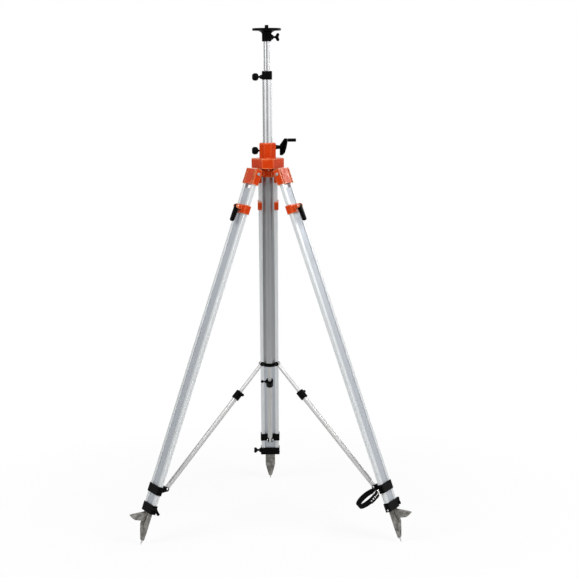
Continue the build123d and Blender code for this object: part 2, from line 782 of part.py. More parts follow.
# Crank arm: a boat-shaped casting, deepest at its hub, with the pin of the handle at its upper end
crank_frame = Plane(origin=(0, pinion_axis, shaft_height), x_dir=(1, 0, 0), z_dir=(0, -1, 0))
with BuildPart() as crank_arm:
    with BuildSketch(crank_frame):
        with BuildLine():
            Polyline(
                (arm_plane, arm_knee),
                (arm_plane + arm_lean, arm_up + handle_radius),
                (arm_plane + arm_lean + arm_top, arm_up + handle_radius),
                (arm_plane + arm_lean + arm_top, arm_up - handle_radius),
                (arm_plane + arm_bulge, 0),
                (arm_plane + arm_belly, -arm_belly_drop),
                (arm_plane + arm_tail, -arm_down),
                (arm_plane, -arm_down),
                close=True,
            )
        make_face()
    extrude(amount=arm_thickness / 2, both=True)
    fillet(crank_arm.edges().filter_by(Axis.Y), radius=arm_edge)
    chamfer(crank_arm.faces().filter_by(Axis.Y).edges(), length=arm_chamfer)
    neck_start = housing_flats / 2 + turn_gap
    with BuildSketch(side_frame.offset(neck_start)):
        Circle(neck_radius)
    with BuildSketch(side_frame.offset(arm_plane + arm_edge)):
        Circle(neck_tip_radius)
    loft()
    with BuildSketch(side_frame.offset(neck_start)):
        Circle(shaft_radius)
    extrude(amount=arm_plane + arm_bulge / 2 - neck_start, mode=Mode.SUBTRACT)
    with BuildSketch(side_frame.offset(arm_plane + arm_lean + arm_top)):
        with Locations((0, arm_up)):
            Circle(handle_pin_radius)
    extrude(amount=handle_pin_length)
save(crank_arm.part, "crank_arm")

handle_frame = side_frame.offset(arm_plane + arm_lean + arm_top + turn_gap)
with BuildPart() as crank_handle:
    with BuildSketch(handle_frame):
        with Locations((0, arm_up)):
            Circle(handle_radius)
    extrude(amount=handle_length)
    fillet(crank_handle.edges().filter_by(GeomType.CIRCLE), radius=handle_edge)
    with BuildSketch(handle_frame):
        with Locations((0, arm_up)):
            Circle(handle_pin_radius + pin_gap)
    extrude(amount=handle_pin_length, mode=Mode.SUBTRACT)
save(crank_handle.part, "crank_handle")

# Leg shoulder: a casting forked over the head's lug, with sockets for the two rails
rail_start = shoulder_drop - rail_sink
with BuildPart() as leg_shoulder:
    with BuildSketch(Plane.XY.offset(-shoulder_drop)):
        RectangleRounded(shoulder_width, shoulder_depth, casting_edge)
    extrude(amount=shoulder_drop + shoulder_rise)
    chamfer(leg_shoulder.faces().sort_by(Axis.Z)[-1].edges(), length=casting_edge)
    with BuildSketch(Plane.XY.offset(-shoulder_drop)):
        with Locations((-rail_centre, shoulder_depth / 2), (rail_centre, shoulder_depth / 2)):
            Rectangle(shoulder_flute, 2 * flute_depth)
    extrude(amount=shoulder_drop + shoulder_rise, mode=Mode.SUBTRACT)
    with BuildSketch(Plane.XY.offset(-shoulder_drop)):
        with Locations((-rail_centre, 0), (rail_centre, 0)):
            RectangleRounded(rail_width, rail_depth, rail_edge)
    extrude(amount=rail_sink, mode=Mode.SUBTRACT)
    with BuildSketch(Plane.XY.offset(-hinge_lug_radius - fork_room)):
        with Locations((0, -fork_wall / 2)):
            Rectangle(hinge_lug_width + 2 * turn_gap, shoulder_depth - fork_wall)
    extrude(amount=hinge_lug_radius + fork_room + shoulder_rise, mode=Mode.SUBTRACT)
    with BuildSketch(Plane.YZ.offset(-shoulder_width / 2)):
        Circle(bolt_radius + pin_gap)
    extrude(amount=shoulder_width, mode=Mode.SUBTRACT)

# Rails, one each side, with the hole for the lower clamping screw in the one at negative x
end_screw_drop = rails_end - end_collar_height / 2
bore_width = rail_width - groove_depth - flank_groove_depth - 2 * rail_wall
bore_centre = (rail_spread + bore_width) / 2 + groove_depth + rail_wall
with BuildPart() as leg_rails:
    with BuildSketch(Plane.XY.offset(-rails_end)):
        for side in (-1, 1):
            with Locations((side * rail_centre, 0)):
                RectangleRounded(rail_width, rail_depth, rail_edge)
            with Locations((side * (rail_spread + groove_depth) / 2, 0)):
                Rectangle(groove_depth, groove_width, mode=Mode.SUBTRACT)
            with Locations((side * bore_centre, 0)):
                Rectangle(bore_width, rail_depth - 2 * rail_wall, mode=Mode.SUBTRACT)
            with Locations((side * (leg_width - flank_groove_depth) / 2, 0)):
                Rectangle(flank_groove_depth, flank_groove_width, mode=Mode.SUBTRACT)
    extrude(amount=rails_end - rail_start)
    with BuildSketch(Plane.YZ.offset(-leg_width / 2)):
        with Locations((0, -end_screw_drop)):
            Circle(screw_radius + slide_gap)
    extrude(amount=rail_width, mode=Mode.SUBTRACT)

# Inner leg: hollow profile with a tongue along each edge, running in the grooves of the rails
inner_width = rail_spread - 2 * slide_gap
tongue_reach = inner_width / 2 + groove_depth - slide_gap
tongue_height = groove_width - 2 * slide_gap
with BuildPart() as inner_leg:
    with BuildSketch(Plane.XY.offset(-shoe_top)):
        RectangleRounded(inner_width, inner_depth, rail_edge / 2)
        Rectangle(2 * tongue_reach, tongue_height)
        Rectangle(inner_width - 2 * inner_wall, inner_depth - 2 * inner_wall, mode=Mode.SUBTRACT)
    extrude(amount=shoe_top - inner_top)


def band_outline(width, depth, edge):
    """Outer outline of a band round the rails."""
    RectangleRounded(leg_width + 2 * width, rail_depth + 2 * depth, edge)


# Lever clamp: a band fixed on the inner leg, running round both rails, with two ears for its lever
clamp_face = rail_depth / 2 + clamp_wall_face
lever_axis_out = clamp_face + lever_pivot_out
lever_axis_drop = clamp_top + lever_pivot_drop
with BuildPart() as leg_clamp:
    with BuildSketch(Plane.XY.offset(-clamp_top - clamp_height)):
        band_outline(clamp_wall_side, clamp_wall_face, clamp_edge)
        with Locations((-rail_centre, 0), (rail_centre, 0)):
            Rectangle(rail_width + 2 * slide_gap, rail_depth + 2 * slide_gap, mode=Mode.SUBTRACT)
        RectangleRounded(inner_width, inner_depth, rail_edge / 2, mode=Mode.SUBTRACT)
    extrude(amount=clamp_height)
    for side in (-1, 1):
        ear_plane = Plane.YZ.offset(side * (lever_width + lever_ear_width + 2 * turn_gap) / 2)
        with BuildSketch(ear_plane):
            with Locations((lever_axis_out, -lever_axis_drop)):
                Circle(lever_cam_radius)
            with Locations((lever_axis_out - lever_pivot_out / 2, -lever_axis_drop)):
                Rectangle(lever_pivot_out, 2 * lever_cam_radius)
        extrude(amount=lever_ear_width / 2, both=True)
        with BuildSketch(ear_plane):
            with Locations((lever_axis_out, -lever_axis_drop)):
                Circle(lever_pin_radius + pin_gap)
        extrude(amount=lever_ear_width, both=True, mode=Mode.SUBTRACT)

# Lever: hangs down along the leg, with its pivot pin through both ears
with BuildPart() as clamp_lever:
    with BuildSketch(Plane.YZ):
        with BuildLine():
            tip_out = lever_axis_out + lever_lean
            tip_drop = lever_axis_drop + lever_length - lever_tip_radius
            Polyline(
                (lever_axis_out - lever_cam_radius, -lever_axis_drop),
                (tip_out - lever_tip_radius, -tip_drop),
                (tip_out + lever_tip_radius, -tip_drop),
                (lever_axis_out + lever_cam_radius, -lever_axis_drop),
                close=True,
            )
        make_face()
        with Locations((lever_axis_out, -lever_axis_drop)):
            Circle(lever_cam_radius)
        with Locations((tip_out, -tip_drop)):
            Circle(lever_tip_radius)
    extrude(amount=lever_width / 2, both=True)
    with BuildSketch(Plane.YZ):
        with Locations((lever_axis_out, -lever_axis_drop)):
            Circle(lever_pin_radius)
    extrude(amount=lever_width / 2 + lever_ear_width + 2 * turn_gap, both=True)

# Strut bracket: a band fixed round the rails, with a fork on the inner side for the strut
bracket_face = rail_depth / 2 + band_wall_face
inner_room = inner_depth + 2 * slide_gap
with BuildPart() as strut_bracket:
    with BuildSketch(Plane.XY.offset(-bracket_top - bracket_height)):
        band_outline(band_wall_side, band_wall_face, band_edge)
        with Locations((-rail_centre, 0), (rail_centre, 0)):
            RectangleRounded(rail_width, rail_depth, rail_edge, mode=Mode.SUBTRACT)
        Rectangle(rail_spread, inner_room, mode=Mode.SUBTRACT)
    extrude(amount=bracket_height)
    for side in (-1, 1):
        ear_plane = Plane.YZ.offset(side * ((tongue_width + bracket_ear_width) / 2 + slide_gap))
        with BuildSketch(ear_plane):
            with Locations((-strut_standoff, -strut_foot)):
                Circle(bracket_ear_radius)
            with BuildLine():
                Polyline(
                    (-strut_standoff, -strut_foot + bracket_ear_radius),
                    (-bracket_face, -bracket_top),
                    (-bracket_face, -bracket_top - bracket_height),
                    (-strut_standoff, -strut_foot - bracket_ear_radius),
                    close=True,
                )
            make_face()
        extrude(amount=bracket_ear_width / 2, both=True)
        rivet_face = Plane(
            origin=(side * (tongue_width / 2 + slide_gap + bracket_ear_width), -strut_standoff, -strut_foot),
            x_dir=(0, 1, 0),
            z_dir=(side, 0, 0),
        )
        with BuildSketch(rivet_face):
            Circle(strut_pin_head)
        extrude(amount=rivet_height)

# End collar: a band round the lower ends of the rails, with a boss for its clamping screw
with BuildPart() as end_collar:
    with BuildSketch(Plane.XY.offset(-rails_end)):
        band_outline(band_wall_side, band_wall_face, band_edge)
        with Locations((-rail_centre, 0), (rail_centre, 0)):
            RectangleRounded(rail_width, rail_depth, rail_edge, mode=Mode.SUBTRACT)
        Rectangle(rail_spread, inner_room, mode=Mode.SUBTRACT)
    extrude(amount=end_collar_height)
    boss_face = Plane((-leg_width / 2, 0, -end_screw_drop), x_dir=(0, 1, 0), z_dir=(-1, 0, 0))
    with BuildSketch(boss_face):
        Circle(screw_boss_radius)
    with BuildSketch(boss_face.offset(band_wall_side + screw_boss_length)):
        Circle(screw_boss_tip)
    loft()
    with BuildSketch(boss_face):
        Circle(screw_radius + pin_gap)
    extrude(amount=band_wall_side + screw_boss_length, mode=Mode.SUBTRACT)

leg_screw_reach = leg_width / 2 + band_wall_side + screw_boss_length - tongue_reach
leg_wing_screw = wing_screw(leg_screw_reach)


def leg_screw_frame(turn):
    """Frame of a leg's wing screw, with its wings turned from the direction of the leg."""
    return Plane(
        origin=(0, 0, -end_screw_drop),
        x_dir=(0, sin(radians(turn)), cos(radians(turn))),
        z_dir=(-1, 0, 0),
    )


# Shoe: a tapered casting on the end of the inner leg, with a pedal outwards and a steel spike
plug_width = inner_width - 2 * (inner_wall + pin_gap)
plug_depth = inner_depth - 2 * (inner_wall + pin_gap)
with BuildPart() as shoe_body:
    with BuildSketch(Plane.XZ):
        with BuildLine():
            Polyline(
                (-shoe_width / 2, -shoe_top),
                (shoe_width / 2, -shoe_top),
                (shoe_width / 2, -shoe_top - shoe_straight),
                (shoe_end_width / 2, -shoe_end),
                (-shoe_end_width / 2, -shoe_end),
                (-shoe_width / 2, -shoe_top - shoe_straight),
                close=True,
            )
        make_face()
    extrude(amount=shoe_depth, both=True)
    with BuildSketch(Plane.YZ):
        with BuildLine():
            Polyline(
                (-shoe_depth / 2, -shoe_top),
                (shoe_depth / 2, -shoe_top),
                (shoe_depth / 2, -shoe_top - shoe_straight),
                (shoe_end_depth / 2 - tip_inset, -shoe_end),
                (-shoe_end_depth / 2 - tip_inset, -shoe_end),
                (-shoe_depth / 2, -shoe_top - shoe_straight),
                close=True,
            )
        make_face()
    extrude(amount=shoe_width, both=True, mode=Mode.INTERSECT)
    level = Plane(
        origin=(0, shoe_depth / 2, -shoe_top - pedal_drop),
        x_dir=(-1, 0, 0),
        z_dir=(0, cos(tilt), -sin(tilt)),
    )
    with BuildSketch(level.offset(-pedal_sink)):
        Rectangle(pedal_root_width, pedal_root_height, align=(Align.CENTER, Align.MAX))
    with BuildSketch(level.offset(pedal_reach - pedal_nose)):
        Rectangle(pedal_nose_width, pedal_nose_height, align=(Align.CENTER, Align.MAX))
    with BuildSketch(level.offset(pedal_reach)):
        Rectangle(pedal_tip_width, pedal_tip_height, align=(Align.CENTER, Align.MAX))
    loft(ruled=True)
    pocket_middle = -shoe_top - pedal_drop - pedal_root_height * cos(tilt) - pocket_height / 2
    with BuildSketch(Plane.XZ.offset(-shoe_depth / 2)):
        with Locations((0, pocket_middle)):
            RectangleRounded(pocket_width, pocket_height, casting_edge)
    extrude(amount=pocket_depth, mode=Mode.SUBTRACT)
    with BuildSketch(Plane.XY.offset(-shoe_top)):
        Rectangle(plug_width, plug_depth)
    extrude(amount=shoe_plug)
    with BuildSketch(Plane.XY.offset(-shoe_end)):
        with Locations((0, -tip_inset)):
            Circle(spike_radius)
    extrude(amount=spike_sink, mode=Mode.SUBTRACT)

with BuildPart() as spike:
    with BuildSketch(Plane.XY.offset(-shoe_end)):
        with Locations((0, -tip_inset)):
            Circle(spike_radius)
    extrude(amount=spike_sink)
    with BuildSketch(Plane.XY.offset(-shoe_end)):
        with Locations((0, -tip_inset)):
            Circle(spike_radius)
    with BuildSketch(Plane.XY.offset(-leg_reach)):
        with Locations((0, -tip_inset)):
            Circle(spike_tip_radius)
    loft()

for leg, azimuth in leg_azimuths.items():
    place = leg_frame(azimuth).location
    save(leg_shoulder.part.moved(place), f"leg_shoulder_{leg}")
    save(leg_rails.part.moved(place), f"leg_rails_{leg}")
    save(inner_leg.part.moved(place), f"inner_leg_{leg}")
    save(leg_clamp.part.moved(place), f"leg_clamp_{leg}")
    save(clamp_lever.part.moved(place), f"clamp_lever_{leg}")
    save(strut_bracket.part.moved(place), f"strut_bracket_{leg}")
    save(end_collar.part.moved(place), f"end_collar_{leg}")
    seat = seated(leg_screw_frame(leg_wing_turns[leg]), tongue_reach + turn_gap)
    save(leg_wing_screw.moved(place * seat), f"leg_wing_screw_{leg}")
    save(Compound(children=[shoe_body.part.moved(place), spike.part.moved(place)]), f"shoe_{leg}")

# Strut rod: a flat eye on the hub pin, then a round rod
rod_start = strut_eye_radius + rod_shoulder
with BuildPart() as strut_rod:
    with BuildSketch(Plane.XY.offset(-rod_length)):
        Circle(rod_radius)
    extrude(amount=rod_length - rod_start)
    with BuildSketch(Plane.YZ):
        Circle(strut_eye_radius)
        with Locations((0, -rod_start / 2)):
            Rectangle(2 * rod_radius, rod_start)
    extrude(amount=strut_eye_width / 2, both=True)
    with BuildSketch(Plane.YZ):
        Circle(strut_pin_radius + pin_gap)
    extrude(amount=strut_eye_width, both=True, mode=Mode.SUBTRACT)

# Strut tube: the rod slides in it, and its flat tongue stands between the ears of the leg bracket
tube_start = strut_collar_start + strut_collar_length - strut_collar_cover
tube_stop = strut_length - tongue_length
tongue_half = strut_tube_radius - strut_tube_wall
with BuildPart() as strut_tube:
    with BuildSketch(Plane.XY.offset(-tube_stop)):
        Circle(strut_tube_radius)
        Circle(strut_tube_radius - strut_tube_wall, mode=Mode.SUBTRACT)
    extrude(amount=tube_stop - tube_start)
    with BuildSketch(Plane.XY.offset(-tube_stop)):
        Circle(strut_tube_radius)
    extrude(amount=strut_plug)
    with BuildSketch(Plane.YZ):
        with Locations((0, -strut_length)):
            Circle(tongue_half)
        with Locations((0, -strut_length + tongue_length / 2)):
            Rectangle(2 * tongue_half, tongue_length)
    extrude(amount=tongue_width / 2, both=True)

# Strut collar: fixed on the upper end of the tube, with a thumb screw that holds the rod
thumb_drop = strut_collar_start + (strut_collar_length - strut_collar_cover) / 2
thumb_frame = Plane((0, 0, -thumb_drop), x_dir=(0, 1, 0), z_dir=(-1, 0, 0))
with BuildPart() as strut_collar:
    with BuildSketch(Plane.XY.offset(-strut_collar_start - strut_collar_length)):
        Circle(strut_collar_radius)
    extrude(amount=strut_collar_length)
    fillet(strut_collar.edges().filter_by(GeomType.CIRCLE), radius=casting_edge)
    with BuildSketch(thumb_frame):
        Circle(thumb_boss_radius)
    extrude(amount=strut_collar_radius + thumb_boss_length)
    with BuildSketch(Plane.XY.offset(-strut_collar_start - strut_collar_length)):
        Circle(strut_tube_radius)
    extrude(amount=strut_collar_cover, mode=Mode.SUBTRACT)
    with BuildSketch(Plane.XY.offset(-tube_start)):
        Circle(rod_radius + slide_gap)
    extrude(amount=strut_collar_length - strut_collar_cover, mode=Mode.SUBTRACT)
    with BuildSketch(thumb_frame):
        Circle(screw_radius + pin_gap)
    extrude(amount=strut_collar_radius + thumb_boss_length, mode=Mode.SUBTRACT)

thumb_screw = ball_screw(strut_collar_radius + thumb_boss_length - rod_radius)
strut_thumb_screw = thumb_screw.moved(seated(thumb_frame, rod_radius + turn_gap))

for leg, azimuth in leg_azimuths.items():
    place = strut_frame(azimuth).location
    save(strut_rod.part.moved(place), f"strut_rod_{leg}")
    save(strut_tube.part.moved(place), f"strut_tube_{leg}")
    save(strut_collar.part.moved(place), f"strut_collar_{leg}")
    save(strut_thumb_screw.moved(place), f"strut_thumb_screw_{leg}")

# Carrying strap: a buckled loop that droops from the inner corner of the right leg's strut bracket
strap_corner = leg_frame(leg_azimuths["right"]).from_local_coords(
    Vector(leg_width / 2 + band_wall_side, -bracket_face, -bracket_top - bracket_height / 2)
)
droop = radians(strap_droop)
roll = radians(strap_roll)
strap_run = Vector(-cos(droop), 0, -sin(droop))
strap_rise = Vector(-sin(droop) * cos(roll), -sin(roll), cos(droop) * cos(roll))
strap_plane = Plane(
    origin=strap_corner + strap_run * (strap_reach / 2 + strap_gap) - strap_rise * strap_drop,
    x_dir=strap_run,
    z_dir=strap_rise,
)
with BuildPart() as leg_strap:
    with BuildSketch(strap_plane):
        Ellipse(strap_reach / 2, strap_breadth / 2)
        Ellipse(strap_reach / 2 - strap_thickness, strap_breadth / 2 - strap_thickness, mode=Mode.SUBTRACT)
    extrude(amount=strap_width)
save(leg_strap.part, "leg_strap")
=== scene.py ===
# %% [markdown]
# An elevating survey tripod.
# The hard parts come from the imported frame at their real size, and each of them gets its finish here.
# Grips, screws, shoes, the thread and the strap are modelled again in meshes, where they sit on the real one.
# The frame is loaded first.

# %% Load the frame
import json
import math

import bmesh
import bpy
from mathutils import Matrix, Vector


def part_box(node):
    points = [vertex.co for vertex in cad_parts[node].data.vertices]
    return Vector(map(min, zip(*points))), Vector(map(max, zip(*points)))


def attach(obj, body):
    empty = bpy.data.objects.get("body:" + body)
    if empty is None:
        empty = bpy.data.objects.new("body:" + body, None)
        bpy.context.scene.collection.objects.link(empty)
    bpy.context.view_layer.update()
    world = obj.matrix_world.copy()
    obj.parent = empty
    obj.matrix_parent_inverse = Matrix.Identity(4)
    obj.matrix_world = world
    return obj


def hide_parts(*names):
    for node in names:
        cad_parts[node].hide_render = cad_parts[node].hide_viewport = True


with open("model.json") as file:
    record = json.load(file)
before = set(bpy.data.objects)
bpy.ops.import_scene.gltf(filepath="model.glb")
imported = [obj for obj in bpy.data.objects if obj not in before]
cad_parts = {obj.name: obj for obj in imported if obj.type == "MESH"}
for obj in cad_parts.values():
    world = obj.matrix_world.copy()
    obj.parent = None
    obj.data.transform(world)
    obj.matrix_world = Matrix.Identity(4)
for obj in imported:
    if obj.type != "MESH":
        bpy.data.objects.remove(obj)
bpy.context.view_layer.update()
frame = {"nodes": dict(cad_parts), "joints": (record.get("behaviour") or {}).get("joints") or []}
joints = {joint["name"]: joint for joint in frame["joints"]}
legs = ("rear", "left", "right")
mm = 0.001

# %% [markdown]
# The camera stands five metres away, a little below the height of the head plate, and looks slightly down.
# A long lens keeps the three legs in the flat perspective of a product picture.
# The matrix is built from turns about the axes, because a tracking constraint could not hold the small roll.

# %% Camera
camera_place = Vector((0.001, -5.3136, 1.771))
camera_yaw = math.radians(-0.85)
camera_pitch = math.radians(8.82)
camera_roll = math.radians(-0.37)
focal_pixels = 1358.0
picture_width = 578.0

camera_data = bpy.data.cameras.new("camera")
camera_data.sensor_width = 36.0
camera_data.lens = camera_data.sensor_width * focal_pixels / picture_width
camera = bpy.data.objects.new("camera", camera_data)
bpy.context.scene.collection.objects.link(camera)
camera.matrix_world = (
    Matrix.Translation(camera_place)
    @ Matrix.Rotation(camera_yaw, 4, "Z")
    @ Matrix.Rotation(math.pi / 2 - camera_pitch, 4, "X")
    @ Matrix.Rotation(camera_roll, 4, "Z")
)
bpy.context.scene.camera = camera
bpy.context.scene.view_settings.view_transform = "Standard"
print("lens of", round(camera_data.lens, 1), "mm")

# %% [markdown]
# Every finish below is a small tree of nodes round one shader, and a few helpers keep those trees readable.
# They add a node with its sockets filled in, read noise, and stretch, join or mix values and shaders.
# Patterns use Object coordinates, which are metres here, so a scale of 1000 gives grains of a millimetre.

# %% Helpers for nodes
def add_node(tree, kind, values=None, **settings):
    """A node whose settings are given by name and whose sockets are given in a dictionary."""
    node = tree.nodes.new(kind)
    for name, value in settings.items():
        setattr(node, name, value)
    for name, value in (values or {}).items():
        node.inputs[name].default_value = value
    return node


def new_finish(name):
    """A material with its tree, its shader and the coordinates at which its patterns are read."""
    material = bpy.data.materials.new(name)
    material.use_nodes = True
    tree = material.node_tree
    place = add_node(tree, "ShaderNodeTexCoord").outputs["Object"]
    return material, tree, tree.nodes["Principled BSDF"], place


def noise_on(tree, vector, scale, detail=3.0):
    """Noise read at a vector, as a grey value about one half."""
    noise = add_node(tree, "ShaderNodeTexNoise", {"Scale": scale, "Detail": detail})
    tree.links.new(vector, noise.inputs["Vector"])
    return noise.outputs["Fac"]


def between(tree, factor, low, high, start=0.3, stop=0.7):
    """A number that runs from low to high while the factor runs from start to stop."""
    limits = {"From Min": start, "From Max": stop, "To Min": low, "To Max": high}
    ramp = add_node(tree, "ShaderNodeMapRange", limits)
    tree.links.new(factor, ramp.inputs["Value"])
    return ramp.outputs["Result"]


print("node helpers ready")

# %% Helpers that mix
def mixed(tree, factor, first, second):
    """A colour between two others, of which each is a colour or a socket."""
    mix = add_node(tree, "ShaderNodeMix", data_type="RGBA")
    for name, colour in (("A", first), ("B", second)):
        if isinstance(colour, bpy.types.NodeSocket):
            tree.links.new(colour, mix.inputs[name])
        else:
            mix.inputs[name].default_value = (*colour, 1.0)
    tree.links.new(factor, mix.inputs["Factor"])
    return mix.outputs["Result"]


def joined(tree, operation, first, second):
    """Two values joined by an operation of the Math node."""
    node = add_node(tree, "ShaderNodeMath", operation=operation)
    tree.links.new(first, node.inputs[0])
    tree.links.new(second, node.inputs[1])
    return node.outputs["Value"]


def shader_between(tree, factor, first, second):
    """The first of two shaders at a factor of zero, and the second at one."""
    mix = add_node(tree, "ShaderNodeMixShader")
    tree.links.new(factor, mix.inputs["Fac"])
    tree.links.new(first, mix.inputs[1])
    tree.links.new(second, mix.inputs[2])
    return mix.outputs["Shader"]


print("mixing helpers ready")

# %% [markdown]
# Small relief is cheaper as a bump than as geometry, and its depth is given in real metres.
# The Bevel node answers with the normal that a rounded edge would have.
# That softens a sharp rim, and the angle between this normal and the true one tells how near an edge is.

# %% Helpers for relief and edges
def bumped(tree, shader, height, depth, strength, edge=None):
    """Relief of a real depth under the shader, over edges that look rounded to a radius if one is given."""
    bump = add_node(tree, "ShaderNodeBump", {"Distance": depth, "Strength": strength})
    tree.links.new(height, bump.inputs["Height"])
    if edge:
        bevel = add_node(tree, "ShaderNodeBevel", {"Radius": edge}, samples=6)
        tree.links.new(bevel.outputs["Normal"], bump.inputs["Normal"])
    tree.links.new(bump.outputs["Normal"], shader.inputs["Normal"])


def edge_turn(tree, radius):
    """One on a flat face, and less where a sharp edge lies within the radius."""
    bevel = add_node(tree, "ShaderNodeBevel", {"Radius": radius}, samples=6)
    compare = add_node(tree, "ShaderNodeVectorMath", operation="DOT_PRODUCT")
    tree.links.new(bevel.outputs["Normal"], compare.inputs[0])
    tree.links.new(add_node(tree, "ShaderNodeNewGeometry").outputs["Normal"], compare.inputs[1])
    return compare.outputs["Value"]


print("relief helpers ready")

# %% [markdown]
# The castings of the head, the shoulders and the clamps are powder coated in orange.
# Powder melts into a skin with a fine ripple and a slightly uneven colour. Noise at two sizes gives these
# two.
# Its edges are painted paler: a painted highlight of the light on the rounded edges, together with paint
# rubbed thin there.
# The Bevel node finds the edges, because it turns normals near them, and more noise breaks the pale rim up.

# %% Orange powder coat
def orange_powder_coat():
    material, tree, shader, place = new_finish("orange_powder_coat")
    patches = noise_on(tree, place, 28.0)
    ripple = noise_on(tree, place, 900.0, 2.0)
    colour = mixed(tree, patches, (0.50, 0.036, 0.004), (0.60, 0.050, 0.007))
    # Painted highlight along the edges, mixed with paint rubbed thin there, in a paler orange.
    edge_highlight_and_rub = between(tree, edge_turn(tree, 5.5 * mm), 0.0, 1.0, 0.99, 0.92)
    uneven = between(tree, noise_on(tree, place, 110.0, 4.0), 0.1, 1.0)
    wear_and_sheen = joined(tree, "MULTIPLY", edge_highlight_and_rub, uneven)
    tree.links.new(mixed(tree, wear_and_sheen, colour, (0.95, 0.45, 0.20)), shader.inputs["Base Color"])
    tree.links.new(between(tree, patches, 0.22, 0.30), shader.inputs["Roughness"])
    shader.inputs["Specular IOR Level"].default_value = 0.16
    shader.inputs["Specular Tint"].default_value = (1.0, 0.55, 0.28, 1.0)
    bumped(tree, shader, ripple, 0.12 * mm, 0.3, 1.6 * mm)
    return material


orange_casting = orange_powder_coat()
print("made", orange_casting.name)

# %% [markdown]
# Extruded aluminium carries fine drawn lines along its length, left by the die, under a thin anodised skin.
# Noise that is stretched along the profile makes such lines, so each profile's own direction is needed.
# The joints know it, because a slide runs along its profile.
# A Mapping node of the Texture kind then turns space into the frame of that direction.

# %% Drawn aluminium
def drawn_aluminium(name, turn, colour, roughness, bare, line_strength=0.1):
    """Metal with lines along the z axis of the frame that the turn stands for, bare or under a milky skin."""
    material, tree, shader, place = new_finish(name)
    along = add_node(tree, "ShaderNodeMapping", vector_type="TEXTURE")
    along.inputs["Rotation"].default_value = turn
    along.inputs["Scale"].default_value = (1.0, 1.0, 600.0)
    tree.links.new(place, along.inputs["Vector"])
    lines = noise_on(tree, along.outputs["Vector"], 1100.0, 4.0)
    bands = noise_on(tree, along.outputs["Vector"], 160.0, 2.0)
    clouds = noise_on(tree, place, 9.0)
    dull = tuple(0.90 * part for part in colour)
    tree.links.new(mixed(tree, bands, dull, colour), shader.inputs["Base Color"])
    tree.links.new(between(tree, clouds, 0.85 * roughness, 1.2 * roughness), shader.inputs["Roughness"])
    shader.inputs["Metallic"].default_value = bare
    bumped(tree, shader, lines, 0.04 * mm, line_strength)
    return material


def axis_turn(direction):
    """Turn that brings the z axis to a direction, as Euler angles."""
    return Vector(direction).to_track_quat("Z", "Y").to_euler()


rail_grey = (0.72, 0.74, 0.75)
panel_grey = (0.48, 0.51, 0.55)
strut_grey = (0.60, 0.60, 0.59)
upright = axis_turn((0, 0, 1))
column_aluminium = drawn_aluminium("column_aluminium", upright, (0.90, 0.91, 0.92), 0.27, 0.92, 0.03)
# The centre tube is a darker grey than the columns, and part of that darkness is painted shade from the head
# and the legs around it.
tube_aluminium = drawn_aluminium("tube_aluminium", upright, (0.42, 0.425, 0.43), 0.34, 0.9, 0.15)
rail_aluminium = {}
panel_aluminium = {}
strut_aluminium = {}
for leg in legs:
    leg_turn = axis_turn(joints[f"lower_leg_{leg}_slide"]["axis"])
    strut_turn = axis_turn(joints[f"spreader_{leg}_slide"]["axis"])
    rail_aluminium[leg] = drawn_aluminium(f"rail_aluminium_{leg}", leg_turn, rail_grey, 0.40, 0.4)
    panel_aluminium[leg] = drawn_aluminium(f"panel_aluminium_{leg}", leg_turn, panel_grey, 0.46, 0.4, 0.15)
    strut_aluminium[leg] = drawn_aluminium(f"strut_aluminium_{leg}", strut_turn, strut_grey, 0.44, 0.85, 0.03)
print("made drawn aluminium for the columns, rails, panels and struts")

# %% [markdown]
# Grips, collars and the brackets round the legs are moulded in black plastic reinforced with glass fibre.
# Its surface is not one black: the mould leaves a fine grain, and the fibres make the gloss uneven.

# %% Black plastics and coatings
def moulded_black(name, shade, roughness, grain_size, grain_depth):
    material, tree, shader, place = new_finish(name)
    grain = noise_on(tree, place, 1 / grain_size, 2.0)
    gloss = noise_on(tree, place, 60.0)
    dark = (0.55 * shade, 0.52 * shade, 0.52 * shade)
    light = (1.25 * shade, 1.2 * shade, 1.2 * shade)
    tree.links.new(mixed(tree, gloss, dark, light), shader.inputs["Base Color"])
    tree.links.new(between(tree, gloss, 0.8 * roughness, 1.2 * roughness), shader.inputs["Roughness"])
    shader.inputs["Specular IOR Level"].default_value = 0.03
    bumped(tree, shader, grain, grain_depth, 0.4, 1.0 * mm)
    return material


black_plastic = moulded_black("black_plastic", 0.003, 0.34, 0.7 * mm, 0.08 * mm)
black_coat = moulded_black("black_coat", 0.003, 0.30, 1.2 * mm, 0.06 * mm)
print("made", black_plastic.name, "and", black_coat.name)

# %% [markdown]
# The shoes are sand-cast aluminium: warm grey, pitted, and rubbed bright where the ground has scoured them.
# Two noises of different size make pits and stains, and the stains also change how rough the metal is.
# The sheltered hollows, found by their occlusion, turn brown: partly soil that stays where nothing rubs it
# off, and partly painted shade.

# %% Cast metal and steel
def cast_aluminium():
    material, tree, shader, place = new_finish("cast_aluminium")
    stains = noise_on(tree, place, 55.0, 5.0)
    pits = noise_on(tree, place, 620.0, 5.0)
    scoured = between(tree, stains, 0.0, 1.0, 0.35, 0.65)
    metal = mixed(tree, scoured, (0.12, 0.115, 0.105), (0.32, 0.31, 0.29))
    # Occlusion darkens the hollows to brown: soil there, together with painted shade.
    shelter = add_node(tree, "ShaderNodeAmbientOcclusion", {"Distance": 22.0 * mm}, samples=8)
    soil_and_shade = between(tree, shelter.outputs["AO"], 0.9, 0.0, 0.25, 0.85)
    tree.links.new(mixed(tree, soil_and_shade, metal, (0.075, 0.050, 0.030)), shader.inputs["Base Color"])
    tree.links.new(between(tree, stains, 0.42, 0.62), shader.inputs["Roughness"])
    shader.inputs["Metallic"].default_value = 0.85
    bumped(tree, shader, pits, 0.35 * mm, 0.5)
    return material


